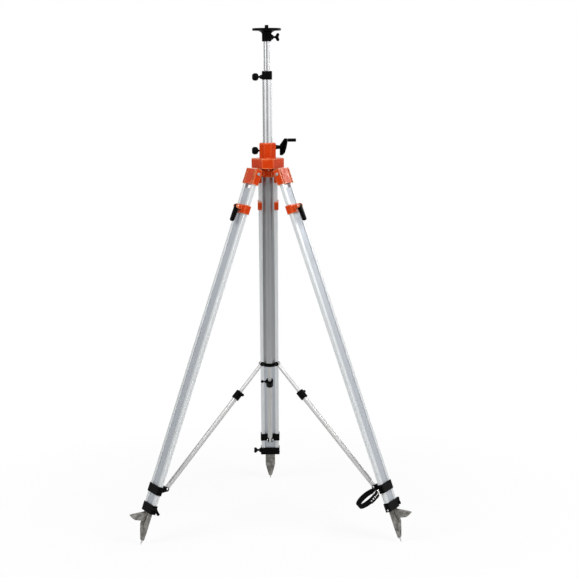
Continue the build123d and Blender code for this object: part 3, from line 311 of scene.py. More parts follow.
def plated_steel(name, shade, roughness):
    material, tree, shader, place = new_finish(name)
    bloom = noise_on(tree, place, 240.0, 4.0)
    bright = (shade, 0.99 * shade, 0.96 * shade)
    dull = (0.72 * shade, 0.72 * shade, 0.71 * shade)
    tree.links.new(mixed(tree, bloom, dull, bright), shader.inputs["Base Color"])
    tree.links.new(between(tree, bloom, 0.8 * roughness, 1.3 * roughness), shader.inputs["Roughness"])
    shader.inputs["Metallic"].default_value = 1.0
    bumped(tree, shader, bloom, 0.03 * mm, 0.3)
    return material


shoe_metal = cast_aluminium()
zinc_steel = plated_steel("zinc_steel", 0.74, 0.26)
dull_steel = plated_steel("dull_steel", 0.42, 0.48)
black_steel = plated_steel("black_steel", 0.03, 0.40)
print("made", shoe_metal.name, zinc_steel.name, dull_steel.name, black_steel.name)

# %% [markdown]
# The strap is black leather with a pebbled grain and a dull sheen, a little greyer where it bends.
# Cells of a Voronoi pattern stand in for the pebbles, and a slow noise for the wear.

# %% Strap leather
def pebbled_leather():
    material, tree, shader, place = new_finish("strap_leather")
    wear_and_sheen = noise_on(tree, place, 90.0, 4.0)
    pebbles = add_node(tree, "ShaderNodeTexVoronoi", {"Scale": 900.0})
    tree.links.new(place, pebbles.inputs["Vector"])
    colour = mixed(tree, wear_and_sheen, (0.002, 0.0018, 0.0018), (0.006, 0.005, 0.005))
    tree.links.new(colour, shader.inputs["Base Color"])
    tree.links.new(between(tree, wear_and_sheen, 0.42, 0.62), shader.inputs["Roughness"])
    shader.inputs["Specular IOR Level"].default_value = 0.04
    bumped(tree, shader, pebbles.outputs["Distance"], 0.25 * mm, 0.4)
    return material


strap_leather = pebbled_leather()
print("made", strap_leather.name)

# %% [markdown]
# The parts that keep their shape from the frame now get these finishes.
# A node's material slots are filled by name, so nothing about its mesh is touched.

# %% Dress the nodes of the frame
def dress(material, *names):
    for name in names:
        slots = frame["nodes"][name].data.materials
        slots.clear()
        slots.append(material)


dress(orange_casting, "tripod_head", "crank_housing")
dress(column_aluminium, "lower_column_tube", "upper_column_tube")
dress(tube_aluminium, "centre_tube")
dress(black_coat, "head_plate")
dress(black_steel, "head_stud", "strut_hub_pins")
dress(dull_steel, "leg_pivot_bolts", "column_rack", "pinion_shaft")
dress(black_plastic, "strut_hub", "column_collar", "lower_column_glide", "upper_column_glide")
dress(black_plastic, "column_knob", "head_wing_screw", "lock_knob", "crank_arm", "crank_handle")
dress(strap_leather, "leg_strap")
for leg in legs:
    dress(orange_casting, f"leg_shoulder_{leg}", f"leg_clamp_{leg}")
    dress(rail_aluminium[leg], f"leg_rails_{leg}")
    dress(panel_aluminium[leg], f"inner_leg_{leg}")
    dress(black_plastic, f"clamp_lever_{leg}", f"strut_bracket_{leg}", f"end_collar_{leg}")
    dress(black_plastic, f"leg_wing_screw_{leg}", f"strut_collar_{leg}", f"strut_thumb_screw_{leg}")
    dress(shoe_metal, f"shoe_{leg}")
    dress(strut_aluminium[leg], f"strut_rod_{leg}", f"strut_tube_{leg}")
print("dressed", len(frame["nodes"]), "nodes")

# %% [markdown]
# The small pieces are meshes of their own, and each of them is drawn in a frame of its own, in metres.
# A frame is a matrix made from an origin and two directions, which the joints and the legs give exactly.
# Where a piece starts and ends is read from the node that it stands for, so it sits where the solid does.

# %% Frames for the pieces
def frame_of(origin, x_axis, z_axis):
    """Matrix of a frame with its z axis exact and its x axis as near as that allows."""
    z = Vector(z_axis).normalized()
    y = z.cross(Vector(x_axis)).normalized()
    return Matrix.Translation(origin) @ Matrix((y.cross(z), y, z)).transposed().to_4x4()


def local_box(name, place):
    """Lowest and highest corner of a node in a frame of its own."""
    back = place.inverted()
    points = [back @ vertex.co for vertex in frame["nodes"][name].data.vertices]
    low = Vector([min(point[axis] for point in points) for axis in range(3)])
    high = Vector([max(point[axis] for point in points) for axis in range(3)])
    return low, high


leg_place = {}
for leg in legs:
    fold = joints[f"leg_{leg}_fold"]
    down = Vector(joints[f"lower_leg_{leg}_slide"]["axis"])
    leg_place[leg] = frame_of(fold["pos_m"], fold["axis"], -down)


def leg_axes(leg):
    """Directions across a leg, out from it and up along it."""
    return [leg_place[leg].col[axis].to_3d() for axis in range(3)]


print("frames for", len(leg_place), "legs")

# %% [markdown]
# Some ways of making a shape come back on many pieces.
# A round piece is a profile spun about the z axis, and a loft is a row of rings bridged to each other.
# A flat moulding is an outline that is thickened, rounded along its rims and sunk in on its broad faces.

# %% Helpers for round shapes and lofts
def arc(centre, radius, start, stop, steps):
    """Points along an arc in a plane, its angles in degrees."""
    turns = [math.radians(start + (stop - start) * step / steps) for step in range(steps + 1)]
    return [(centre[0] + radius * math.cos(turn), centre[1] + radius * math.sin(turn)) for turn in turns]


def turned(bm, profile, steps=40):
    """A profile of radius and height, spun about the z axis."""
    verts = [bm.verts.new((radius, 0.0, height)) for radius, height in profile]
    edges = [bm.edges.new(pair) for pair in zip(verts, verts[1:])]
    bmesh.ops.spin(
        bm, geom=verts + edges, axis=(0, 0, 1), cent=(0, 0, 0), angle=2 * math.pi, steps=steps, use_merge=True
    )


def lofted(bm, rings):
    """A closed skin over rings of points, each ring with as many points as the first."""
    loops = []
    for ring in rings:
        verts = [bm.verts.new(point) for point in ring]
        loops.append([bm.edges.new(pair) for pair in zip(verts, verts[1:] + verts[:1])])
    for lower, upper in zip(loops, loops[1:]):
        bmesh.ops.bridge_loops(bm, edges=lower + upper)
    for end in (loops[0], loops[-1]):
        bmesh.ops.contextual_create(bm, geom=end)


print("helpers for round shapes ready")

# %% Helpers for flat mouldings
def of_kind(kind, geometry):
    """The elements of one kind among those that an operator gives back."""
    return [item for item in geometry if isinstance(item, kind)]


def bevel(bm, geometry, offset, segments, affect="EDGES"):
    """Round edges or corners off."""
    bmesh.ops.bevel(
        bm, geom=geometry, offset=offset, segments=segments, affect=affect, profile=0.5, material=-1
    )


def rounded(corners, radius):
    """An outline whose corners are rounded, as points in its plane."""
    flat = bmesh.new()
    face = flat.faces.new([flat.verts.new((x, 0.0, z)) for x, z in corners])
    bevel(flat, face.verts[:], radius, segments=5, affect="VERTICES")
    outline = max(flat.faces, key=lambda item: item.calc_area())
    points = [(vertex.co.x, vertex.co.z) for vertex in outline.verts]
    flat.free()
    return points


def slab(bm, outline, half_thickness, edge, segments=3):
    """An outline in the xz plane, thickened along y and rounded along its two rims."""
    face = bm.faces.new([bm.verts.new((x, -half_thickness, z)) for x, z in outline])
    grown = bmesh.ops.extrude_face_region(bm, geom=[face], use_keep_orig=True)["geom"]
    moved = of_kind(bmesh.types.BMVert, grown)
    bmesh.ops.translate(bm, verts=moved, vec=(0, 2 * half_thickness, 0))
    ends = [face] + of_kind(bmesh.types.BMFace, grown)
    rims = {rim for end in ends if end.is_valid for rim in end.edges}
    bevel(bm, list(rims), edge, segments)
    bmesh.ops.recalc_face_normals(bm, faces=bm.faces)


def sunk_panels(bm, border, depth):
    """Sink a panel into both broad faces of a slab."""
    for side in (-1, 1):
        face = max(bm.faces, key=lambda item: side * item.normal.y * item.calc_area())
        bmesh.ops.inset_region(bm, faces=[face], thickness=border, depth=0.0, use_even_offset=True)
        bmesh.ops.inset_region(bm, faces=[face], thickness=depth / 2, depth=-depth, use_even_offset=True)


def ease_creases(bm, angle, offset):
    """Round the edges at which two faces turn by more than an angle."""
    sharp = [edge for edge in bm.edges if len(edge.link_faces) == 2 and edge.calc_face_angle() > angle]
    bevel(bm, sharp, offset, segments=2)


print("helpers for mouldings ready")

# %% [markdown]
# Each finished mesh is moved to its place, shaded smooth between its sharp edges, and set riding on its body.
# A slot of the record names the finish that a piece takes.

# %% Finish a piece
slot_finish = {
    "black_plastic": black_plastic,
    "black_steel": black_steel,
    "zinc_steel": zinc_steel,
    "shoe_casting": shoe_metal,
    "strap_webbing": strap_leather,
}


def finish_piece(bm, name, body, slot, place=Matrix(), nodes=(), sharp=38.0):
    """Turn a bmesh into an object at its place, riding on a body and standing for the nodes."""
    bmesh.ops.remove_doubles(bm, verts=bm.verts, dist=0.005 * mm)
    bmesh.ops.recalc_face_normals(bm, faces=bm.faces)
    bm.transform(place)
    mesh = bpy.data.meshes.new(name)
    bm.to_mesh(mesh)
    bm.free()
    mesh.shade_smooth()
    mesh.set_sharp_from_angle(angle=math.radians(sharp))
    mesh.materials.append(slot_finish[slot])
    piece = bpy.data.objects.new(name, mesh)
    bpy.context.scene.collection.objects.link(piece)
    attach(piece, body)
    if nodes:
        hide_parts(*nodes)
    return piece


print("finishes for", len(slot_finish), "slots")

# %% [markdown]
# The instrument stud on the head plate has the coarse thread of survey gear, eleven turns to the inch.
# A thread is one small profile spun upwards, so the spin gets a step along the axis as well as a turn.
# It is cut off square at the plate and at the top, and its crests are trimmed there for an easy start.

# %% Threaded stud
stud_low, stud_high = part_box("head_stud")
plate_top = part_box("head_plate")[1].z
thread_pitch = 25.4 * mm / 11
thread_crest = 7.94 * mm
thread_root = 6.6 * mm
thread_lead_in = 1.6 * mm
stud_head = 5.0 * mm
stud_shank = 9.0 * mm
turn_steps = 36

bm = bmesh.new()
thread_start = plate_top - 2 * thread_pitch
thread_turns = math.ceil((stud_high.z - thread_start) / thread_pitch) + 1
tooth = [
    (thread_root, 0.0),
    (thread_root, 0.12),
    (thread_crest, 0.46),
    (thread_crest, 0.66),
    (thread_root, 1.0),
]
verts = [bm.verts.new((radius, 0.0, thread_start + share * thread_pitch)) for radius, share in tooth]
edges = [bm.edges.new(pair) for pair in zip(verts, verts[1:])]
bmesh.ops.spin(
    bm,
    geom=verts + edges,
    axis=(0, 0, 1),
    cent=(0, 0, 0),
    dvec=(0, 0, thread_pitch / turn_steps),
    angle=2 * math.pi * thread_turns,
    steps=turn_steps * thread_turns,
)
bmesh.ops.remove_doubles(bm, verts=bm.verts, dist=0.005 * mm)
for height, direction in ((plate_top - thread_pitch / 2, (0, 0, -1)), (stud_high.z, (0, 0, 1))):
    everything = bm.verts[:] + bm.edges[:] + bm.faces[:]
    cut = bmesh.ops.bisect_plane(
        bm, geom=everything, plane_co=(0, 0, height), plane_no=direction, clear_outer=True
    )
    bmesh.ops.edgenet_fill(bm, edges=of_kind(bmesh.types.BMEdge, cut["geom_cut"]))
for vertex in bm.verts:
    reach = math.hypot(vertex.co.x, vertex.co.y)
    allowed = thread_crest - max(0.0, vertex.co.z - stud_high.z + thread_lead_in)
    if reach > allowed:
        vertex.co.xy *= allowed / reach
turned(bm, [
    (0.0, stud_low.z),
    (stud_high.x, stud_low.z),
    (stud_high.x, stud_low.z + stud_head),
    (stud_shank, stud_low.z + stud_head),
    (stud_shank, plate_top),
    (0.0, plate_top),
])
finish_piece(bm, "threaded_stud", "head", "black_steel", nodes=["head_stud"])
print("stud with", thread_turns, "turns of thread")

# %% [markdown]
# Wing screws clamp the head plate and the lower legs: plastic mouldings with two round lobes for the fingers.
# One outline holds both lobes and the notch between them, and it is thickened and rounded along its rims.
# The hub and the shank are spun and overlap the wings, as the moulding does where it flows round its core.

# %% Wing screws
wing_length = 18.0 * mm
wing_neck = 4.0 * mm
lobe_radius = 6.0 * mm
lobe_offset = 9.5 * mm
lobe_arc = (-70, 110)
wing_dip = 3.5 * mm
wing_half = 4.8 * mm
wing_edge = 2.2 * mm
hub_height = 11.0 * mm
hub_shoulder = 3.0 * mm
hub_crown = 1.0 * mm
hub_radius = 6.5 * mm
neck_radius = 4.2 * mm
shank_radius = 3.0 * mm


def wing_screw(name, body, joint, wing_axis):
    """A wing screw on its joint's axis, with its wings along a second direction."""
    place = frame_of(joints[joint]["pos_m"], wing_axis, joints[joint]["axis"])
    low, high = local_box(name, place)
    root = high.z - wing_length
    middle = high.z - lobe_radius
    bm = bmesh.new()
    right = arc((lobe_offset, middle), lobe_radius, *lobe_arc, 12)
    left = [(-x, z) for x, z in reversed(right)]
    slab(bm, [(0.0, root), *right, (0.0, high.z - wing_dip), *left], wing_half, wing_edge)
    hub_top = root + hub_height
    turned(bm, [
        (0.0, low.z),
        (shank_radius, low.z),
        (shank_radius, root - wing_neck),
        (neck_radius, root - wing_neck),
        (neck_radius, root),
        (hub_radius, hub_top - hub_shoulder),
        (0.8 * hub_radius, hub_top),
        (0.0, hub_top + hub_crown),
    ])
    finish_piece(bm, f"{name}_grip", body, "black_plastic", place, [name])


up = Vector((0, 0, 1))
back = Vector((0, 1, 0))
leg_turns = {"rear": math.radians(90.0), "left": math.radians(45.0), "right": 0.0}
wing_screw("head_wing_screw", "head_screw", "head_screw_turn", up)
for leg, turn in leg_turns.items():
    outwards, upwards = leg_axes(leg)[1:]
    wing_axis = upwards * math.cos(turn) + outwards * math.sin(turn)
    wing_screw(f"leg_wing_screw_{leg}", f"leg_screw_{leg}", f"leg_screw_{leg}_turn", wing_axis)
print("made", 1 + len(legs), "wing screws")

# %% [markdown]
# Each strut is held by a small screw with a ball for two fingers, and each column by a larger fluted knob.
# Both are turned shapes. A knob's flutes come from pulling its vertices inwards in six places round the axis,
# which also carries the flutes over the rounded ends, as the mould does.

# %% Ball screws
ball_radius = 6.0 * mm


def ball_screw(leg):
    joint = joints[f"thumb_screw_{leg}_turn"]
    place = frame_of(joint["pos_m"], up, joint["axis"])
    node = f"strut_thumb_screw_{leg}"
    low, high = local_box(node, place)
    middle = high.z - ball_radius
    bm = bmesh.new()
    ball = arc((0.0, middle), ball_radius, -62, 90, 12)
    turned(bm, [(0.0, low.z), (shank_radius, low.z), (shank_radius, middle - 0.95 * ball_radius), *ball])
    body = f"thumb_screw_{leg}"
    finish_piece(bm, f"ball_screw_{leg}", body, "black_plastic", place, [node])


for leg in legs:
    ball_screw(leg)
print("made", len(legs), "ball screws")

# %% Knobs
knob_radius = 15.0 * mm
knob_length = 25.0 * mm
knob_rounding = 10.0 * mm
knob_dish = 1.2 * mm
flute_depth = 2.4 * mm
flutes = 6
flute_sharpness = 1.5
dish_radius = 4.05 * mm


def fluted_knob(name, body, joint):
    """A clamping screw on its joint's axis, with a fluted grip."""
    place = frame_of(joints[joint]["pos_m"], up, joints[joint]["axis"])
    low, high = local_box(name, place)
    root = high.z - knob_length
    bm = bmesh.new()
    turned(bm, [
        (0.0, low.z),
        (shank_radius, low.z),
        (shank_radius, root - wing_neck),
        (neck_radius, root - wing_neck),
        (neck_radius, root),
        *arc((knob_radius - knob_rounding, root + knob_rounding), knob_rounding, -90, 0, 6),
        *arc((knob_radius - knob_rounding, high.z - knob_rounding), knob_rounding, 0, 90, 6),
        (dish_radius, high.z - knob_dish),
        (0.0, high.z - knob_dish),
    ], steps=96)
    for vertex in bm.verts:
        reach = math.hypot(vertex.co.x, vertex.co.y)
        if vertex.co.z >= root and reach > 0.6 * knob_radius:
            wave = max(0.0, math.cos(flutes * math.atan2(vertex.co.y, vertex.co.x)))
            vertex.co.xy *= 1.0 - flute_depth * wave ** flute_sharpness / knob_radius
    finish_piece(bm, f"{name}_grip", body, "black_plastic", place, [name])


fluted_knob("lock_knob", "lock_screw", "lock_screw_turn")
fluted_knob("column_knob", "column_screw", "column_screw_turn")
print("made two knobs with", flutes, "flutes each")

# %% [markdown]
# The crank is a moulded arm, leaf-shaped below its hub and leaning out above it to carry a turning handle.
# Its outline is one face with rounded corners. It is thickened, and a shallow panel is sunk in each side.
# The neck that reaches into the gear housing and the grooved handle are both turned shapes.

# %% Crank arm
shaft = Vector(joints["crank_turn"]["pos_m"])
grip = Vector(joints["crank_grip_spin"]["pos_m"])
sideways = Vector((1, 0, 0))
grip_radius = 6.8 * mm
arm_half = 8.5 * mm
arm_breadth = 31.0 * mm
arm_gap = 0.3 * mm
arm_corner = 3.0 * mm
arm_edge = 2.2 * mm
arm_border = 1.6 * mm
arm_sink = 1.0 * mm
arm_slant = 13.0 * mm
hub_step = 3.5 * mm
leaf_step = 10.4 * mm
leaf_tip = 20.0 * mm
neck_bore = 5.5 * mm
neck_flare = 9.4 * mm
neck_waist = 8.0 * mm
neck_end = 7.0 * mm
neck_sunk = 6.0 * mm


def crank_arm():
    place = frame_of(shaft, sideways, up)
    low = local_box("crank_arm", place)[0]
    arm_out = grip.x - shaft.x - arm_gap
    arm_in = arm_out - arm_breadth
    rise = grip.z - shaft.z
    corners = [
        (arm_in, 0.3 * rise),
        (arm_out - arm_slant, rise + grip_radius),
        (arm_out, rise + grip_radius),
        (arm_out, rise - grip_radius),
        (arm_out - hub_step, 0.0),
        (arm_out - leaf_step, 0.7 * low.z),
        (arm_out - leaf_tip, low.z),
        (arm_in, low.z),
    ]
    bm = bmesh.new()
    slab(bm, rounded(corners, arm_corner), arm_half, arm_edge, segments=4)
    sunk_panels(bm, arm_border, arm_sink)
    finish_piece(bm, "crank_arm_moulding", "crank", "black_plastic", place, ["crank_arm"])
    neck = bmesh.new()
    turned(neck, [
        (neck_bore, low.x),
        (neck_flare, low.x),
        (neck_waist, low.x + 0.45 * (arm_in - low.x)),
        (neck_end, arm_in),
        (neck_end, arm_in + neck_sunk),
        (neck_bore, arm_in + neck_sunk),
        (neck_bore, low.x),
    ])
    along_shaft = frame_of(shaft, back, sideways)
    finish_piece(neck, "crank_neck", "crank", "black_plastic", along_shaft)


crank_arm()
print("made a crank arm", round(arm_breadth / mm), "mm broad")

# %% Crank handle
grip_end = 2.5 * mm
groove_count = 5
groove_depth = 0.6 * mm
groove_mouth = 1.3 * mm
groove_floor = 0.6 * mm


def crank_handle():
    place = frame_of(grip, back, sideways)
    low, high = local_box("crank_handle", place)
    groove_pitch = (high.z - low.z) / (groove_count + 1)
    groove_radius = grip_radius - groove_depth
    profile = [(0.0, low.z), (grip_radius - grip_end, low.z)]
    profile += arc((grip_radius - grip_end, low.z + grip_end), grip_end, -90, 0, 4)
    for groove in range(groove_count):
        middle = low.z + (groove + 1) * groove_pitch
        profile += [(grip_radius, middle - groove_mouth), (groove_radius, middle - groove_floor)]
        profile += [(groove_radius, middle + groove_floor), (grip_radius, middle + groove_mouth)]
    profile += arc((grip_radius - grip_end, high.z - grip_end), grip_end, 0, 90, 4)
    profile += [(0.0, high.z)]
    bm = bmesh.new()
    turned(bm, profile)
    node = "crank_handle"
    finish_piece(bm, "crank_grip_handle", "crank_grip", "black_plastic", place, [node])


crank_handle()
print("made a handle with", groove_count, "grooves")

# %% [markdown]
# A cam lever on each leg clamp squeezes the band round the rails, and hangs down along the leg when closed.
# Its outline is two arcs, a large one round the pivot and a small one at the free end, with the arm between.
# The pivot is a bright steel pin with domed ends, a piece of its own because it is another metal.

# %% Clamp levers
lever_half = 8.5 * mm
lever_edge = 2.0 * mm
lever_tip = 6.5 * mm
lever_lean = 2.0 * mm
lever_head_arc = (-8, 172)
lever_tip_arc = (176, 356)
lever_border = 1.2 * mm
lever_sink = 0.8 * mm
pin_radius = 3.0 * mm
pin_dome = 1.0 * mm


def clamp_lever(leg):
    outwards, upwards = leg_axes(leg)[1:]
    pivot = joints[f"lever_{leg}_open"]["pos_m"]
    place = frame_of(pivot, outwards, upwards)
    node = f"clamp_lever_{leg}"
    low, high = local_box(node, place)
    outline = arc((0.0, 0.0), high.z, *lever_head_arc, 14)
    outline += arc((lever_lean, low.z + lever_tip), lever_tip, *lever_tip_arc, 10)
    bm = bmesh.new()
    slab(bm, outline, lever_half, lever_edge)
    sunk_panels(bm, lever_border, lever_sink)
    body = f"lever_{leg}"
    finish_piece(bm, f"lever_moulding_{leg}", body, "black_plastic", place, [node])
    pin_half = (high.y - low.y) / 2
    pin = bmesh.new()
    turned(pin, [
        (0.0, -pin_half - pin_dome),
        (0.8 * pin_radius, -pin_half - 0.6 * pin_dome),
        (pin_radius, -pin_half),
        (pin_radius, pin_half),
        (0.8 * pin_radius, pin_half + 0.6 * pin_dome),
        (0.0, pin_half + pin_dome),
    ], steps=24)
    along_pin = frame_of(pivot, upwards, place.col[1].to_3d())
    finish_piece(pin, f"lever_pin_{leg}", body, "zinc_steel", along_pin)


for leg in legs:
    clamp_lever(leg)
print("made", len(legs), "levers and their pins")

# %% [markdown]
# The shoe on each lower leg is a casting that tapers to a steel spike, with a pedal to tread it down.
# Its body is a loft: the outline of a rounded oblong with three flutes in each broad face, down the taper.
# A hollow under the pedal is pressed into the same rings, because the casting has one skin there.

# %% Outline of a shoe
shoe_straight = 52.0 * mm
shoe_taper = 58.0 * mm
shoe_half_width = 21.0 * mm
shoe_half_depth = 10.0 * mm
end_half_width = 7.0 * mm
end_half_depth = 6.0 * mm
tip_inset = 10.0 * mm
hollow_top = 34.0 * mm
hollow_height = 24.0 * mm
hollow_half_width = 8.0 * mm
hollow_depth = 5.0 * mm
hollow_side = 2.5 * mm
hollow_end = 4.0 * mm
shoe_flutes = 3
shoe_flute_depth = 1.1 * mm
shoe_swell = 1.2
face_steps = 24


def hollow(x, drop):
    """Depth of the hollow under the pedal, at a place across the shoe and below its top."""
    half_height = hollow_height / 2
    across = min(1.0, max(0.0, (hollow_half_width - abs(x)) / hollow_side))
    along = min(1.0, max(0.0, (half_height - abs(drop - hollow_top - half_height)) / hollow_end))
    return hollow_depth * across * along


def shoe_ring(drop):
    """Outline of the shoe at a distance below its top."""
    share = max(0.0, drop - shoe_straight) / shoe_taper
    half_width = shoe_half_width + (end_half_width - shoe_half_width) * share ** shoe_swell
    half_depth = shoe_half_depth + (end_half_depth - shoe_half_depth) * share
    corner = 0.45 * half_depth
    ring = []
    for side in (1, -1):
        face = []
        for step in range(1, face_steps):
            x = (half_width - corner) * (1 - 2 * step / face_steps)
            wave = abs(math.sin(shoe_flutes * math.pi * step / face_steps))
            depth = shoe_flute_depth * (1 - 0.6 * share) * wave
            if side > 0:
                depth += hollow(x, drop)
            face.append((x, half_depth - depth))
        half = arc((half_width - corner, half_depth - corner), corner, 0, 90, 5) + face
        half += arc((corner - half_width, half_depth - corner), corner, 90, 180, 5)
        ring += [(side * x, side * y - tip_inset * share) for x, y in half]
    return ring


print("outline of", len(shoe_ring(0.0)), "points")

# %% Shoe bodies and spikes
straight_rings = 16
taper_rings = 18
spike_length = 19.2 * mm
spike_sunk = 4.0 * mm
spike_collar = 5.2 * mm
spike_collar_height = 1.5 * mm
spike_radius = 4.4 * mm
spike_radius_height = 2.5 * mm
spike_blunt = 0.8 * mm


def shoe_body(leg, low):
    top = low.z + spike_length + shoe_taper + shoe_straight
    drops = [shoe_straight * step / straight_rings for step in range(straight_rings)]
    drops += [shoe_straight + shoe_taper * step / taper_rings for step in range(taper_rings + 1)]
    bm = bmesh.new()
    lofted(bm, [[(x, y, top - drop) for x, y in shoe_ring(drop)] for drop in drops])
    body = f"lower_leg_{leg}"
    node = f"shoe_{leg}"
    finish_piece(bm, f"shoe_casting_{leg}", body, "shoe_casting", leg_place[leg], [node], sharp=50.0)
    return top


def spike(leg, low):
    bm = bmesh.new()
    turned(bm, [
        (0.0, spike_length + spike_sunk),
        (spike_collar, spike_length + spike_sunk),
        (spike_collar, spike_length - spike_collar_height),
        (spike_radius, spike_length - spike_radius_height),
        (spike_blunt, spike_blunt / 2),
        (0.0, 0.0),
    ], steps=24)
    place = leg_place[leg] @ Matrix.Translation((0.0, -tip_inset, low.z))
    finish_piece(bm, f"spike_{leg}", f"lower_leg_{leg}", "zinc_steel", place)


shoe_top = {}
for leg in legs:
    lowest = local_box(f"shoe_{leg}", leg_place[leg])[0]
    shoe_top[leg] = shoe_body(leg, lowest)
    spike(leg, lowest)
shoe_length = shoe_straight + shoe_taper + spike_length
print("made", len(legs), "shoes of", round(shoe_length / mm), "mm")

# %% [markdown]
# The pedal stands level when the legs are spread, so its frame is turned back by the tilt of the leg.
# It starts as a cube whose corners are drawn out to the root and the nose.
# The end face is then extruded to the tip, and the underside is inset and pushed up, which leaves a rim.

# %% Pedals
pedal_drop = 2.0 * mm
pedal_rim = 3.5 * mm
pedal_recess = 6.0 * mm
pedal_draft = 1.0 * mm
pedal_edge = 1.0 * mm
pedal_crease = math.radians(20)
pedal_sections = {
    "root": (30.0 * mm, 34.0 * mm, -5.0 * mm),
    "nose": (20.0 * mm, 20.5 * mm, 51.0 * mm),
    "tip": (13.0 * mm, 4.0 * mm, 66.0 * mm),
}


def pedal(leg):
    origin = leg_place[leg] @ Vector((0.0, shoe_half_depth, shoe_top[leg] - pedal_drop))
    place = frame_of(origin, leg_axes(leg)[0], up)
    bm = bmesh.new()
    bmesh.ops.create_cube(bm, size=2.0)
    for vertex in bm.verts:
        width, height, reach = pedal_sections["nose" if vertex.co.y > 0 else "root"]
        vertex.co = (vertex.co.x * width / 2, reach, 0.0 if vertex.co.z > 0 else -height)
    end = max(bm.faces, key=lambda face: face.calc_center_median().y)
    tip = bmesh.ops.extrude_face_region(bm, geom=[end])["geom"]
    bmesh.ops.delete(bm, geom=[end], context="FACES_ONLY")
    width, height, reach = pedal_sections["tip"]
    for vertex in of_kind(bmesh.types.BMVert, tip):
        drop = height if vertex.co.z < 0 else 0.0
        vertex.co = (math.copysign(width / 2, vertex.co.x), reach, -drop)
    nose = pedal_sections["nose"][2]
    under = [face for face in bm.faces if face.normal.z < -0.5 and face.calc_center_median().y < nose]
    bmesh.ops.inset_region(bm, faces=under, thickness=pedal_rim, depth=0.0, use_even_offset=True)
    bmesh.ops.inset_region(bm, faces=under, thickness=pedal_draft, depth=-pedal_recess, use_even_offset=True)
    ease_creases(bm, pedal_crease, pedal_edge)
    finish_piece(bm, f"pedal_{leg}", f"lower_leg_{leg}", "shoe_casting", place)


for leg in legs:
    pedal(leg)
print("made", len(legs), "pedals")

# %% [markdown]
# Plain steel screws and rivets hold the castings: one in the front of the head's sleeve, one in each collar
# and two at the foot of each strut. They are one turned shape, a low dome with a round recess for the driver.

# %% Screws and rivets
sleeve_radius = 27.0 * mm
sleeve_screw_side = 4.0 * mm
sleeve_screw_height = 13.5 * mm
sleeve_screw_radius = 3.6 * mm
collar_screw_height = 7.0 * mm
collar_screw_radius = 3.4 * mm
rivet_drop = 7.3 * mm
rivet_side = 11.4 * mm
rivet_inset = 44.0 * mm
rivet_radius = 4.7 * mm


def dome_head(name, body, place, radius):
    bm = bmesh.new()
    turned(bm, [
        (0.0, 0.28 * radius),
        (0.34 * radius, 0.28 * radius),
        (0.40 * radius, 0.50 * radius),
        (0.62 * radius, 0.44 * radius),
        (0.86 * radius, 0.26 * radius),
        (radius, 0.0),
        (radius, -0.4 * radius),
        (0.0, -0.4 * radius),
    ], steps=28)
    finish_piece(bm, name, body, "zinc_steel", place)


pivot_height = joints["leg_rear_fold"]["pos_m"][2]
sleeve_turn = math.asin(sleeve_screw_side / sleeve_radius)
sleeve_front = Vector((math.sin(sleeve_turn), -math.cos(sleeve_turn), 0.0))
spot = sleeve_front * sleeve_radius + up * (pivot_height + sleeve_screw_height)
dome_head("sleeve_screw", "frame", frame_of(spot, up, sleeve_front), sleeve_screw_radius)
for leg in legs:
    across, outwards = leg_axes(leg)[:2]
    low, high = local_box(f"end_collar_{leg}", leg_place[leg])
    spot = leg_place[leg] @ Vector((high.x, 0.0, low.z + collar_screw_height))
    body = f"leg_{leg}"
    dome_head(f"collar_screw_{leg}", body, frame_of(spot, outwards, across), collar_screw_radius)
    rivet_height = local_box(f"strut_bracket_{leg}", leg_place[leg])[1].z - rivet_drop
    for name, side in (("a", -1), ("b", 1)):
        spot = leg_place[leg] @ Vector((side * rivet_side, -rivet_inset, rivet_height))
        place = frame_of(spot, outwards, side * across)
        dome_head(f"strut_rivet_{name}_{leg}", body, place, rivet_radius)
print("made", 1 + 3 * len(legs), "screws and rivets")

# %% [markdown]
# A leather strap hangs from one bracket to hold the folded legs together: a buckled loop with three eyelets.
# The droop and the roll give the frame of the loop, and its lengths are read from the solid in that frame.

# %% Frame of the strap
strap_droop = math.radians(38.8)
strap_roll = math.radians(10.0)
buckle_margin = 3.0 * mm
strap_run = Vector((-math.cos(strap_droop), 0.0, -math.sin(strap_droop)))
strap_normal = Vector((
    -math.sin(strap_droop) * math.cos(strap_roll),
    -math.sin(strap_roll),
    math.cos(strap_droop) * math.cos(strap_roll),
))
strap_low, strap_high = local_box("leg_strap", frame_of((0, 0, 0), strap_run, strap_normal))
strap_place = frame_of((0, 0, 0), strap_run, strap_normal) @ Matrix.Translation((strap_low + strap_high) / 2)
half_reach, half_breadth, half_buckle = (strap_high - strap_low) / 2
half_strap = half_buckle - buckle_margin


def on_loop(turn, out=0.0):
    """Frame on the outer side of the loop: x along the strap, y across it and z outwards."""
    point = Vector(((half_reach + out) * math.cos(turn), (half_breadth + out) * math.sin(turn), 0.0))
    along = Vector((-half_reach * math.sin(turn), half_breadth * math.cos(turn), 0.0)).normalized()
    return strap_place @ frame_of(point, along, along.cross(Vector((0, 0, 1))))


print("loop of", round(2 * half_reach / mm), "by", round(2 * half_breadth / mm), "mm")

# %% [markdown]
# The loop is a circle drawn out to an oval, extruded across the strap and given its thickness.
# Its free end is a narrow grid laid along the loop, drawn in to a tip.
# A skin gets its thickness along its normals, so these are brought up to date first.

# %% Strap loop and tail
strap_segments = 120
strap_thickness = 2.6 * mm
strap_edge = 0.6 * mm
strap_crease = math.radians(60)
tail_thickness = 2.2 * mm
tail_edge = 0.5 * mm
tail_gap = 1.4 * mm
tail_lift = 3.5 * mm
lift_start = 0.6
tail_steps = 28
tail_start = math.radians(152.0)
tail_stop = math.radians(88.0)
tip_start = 0.86
tip_cut = 0.72


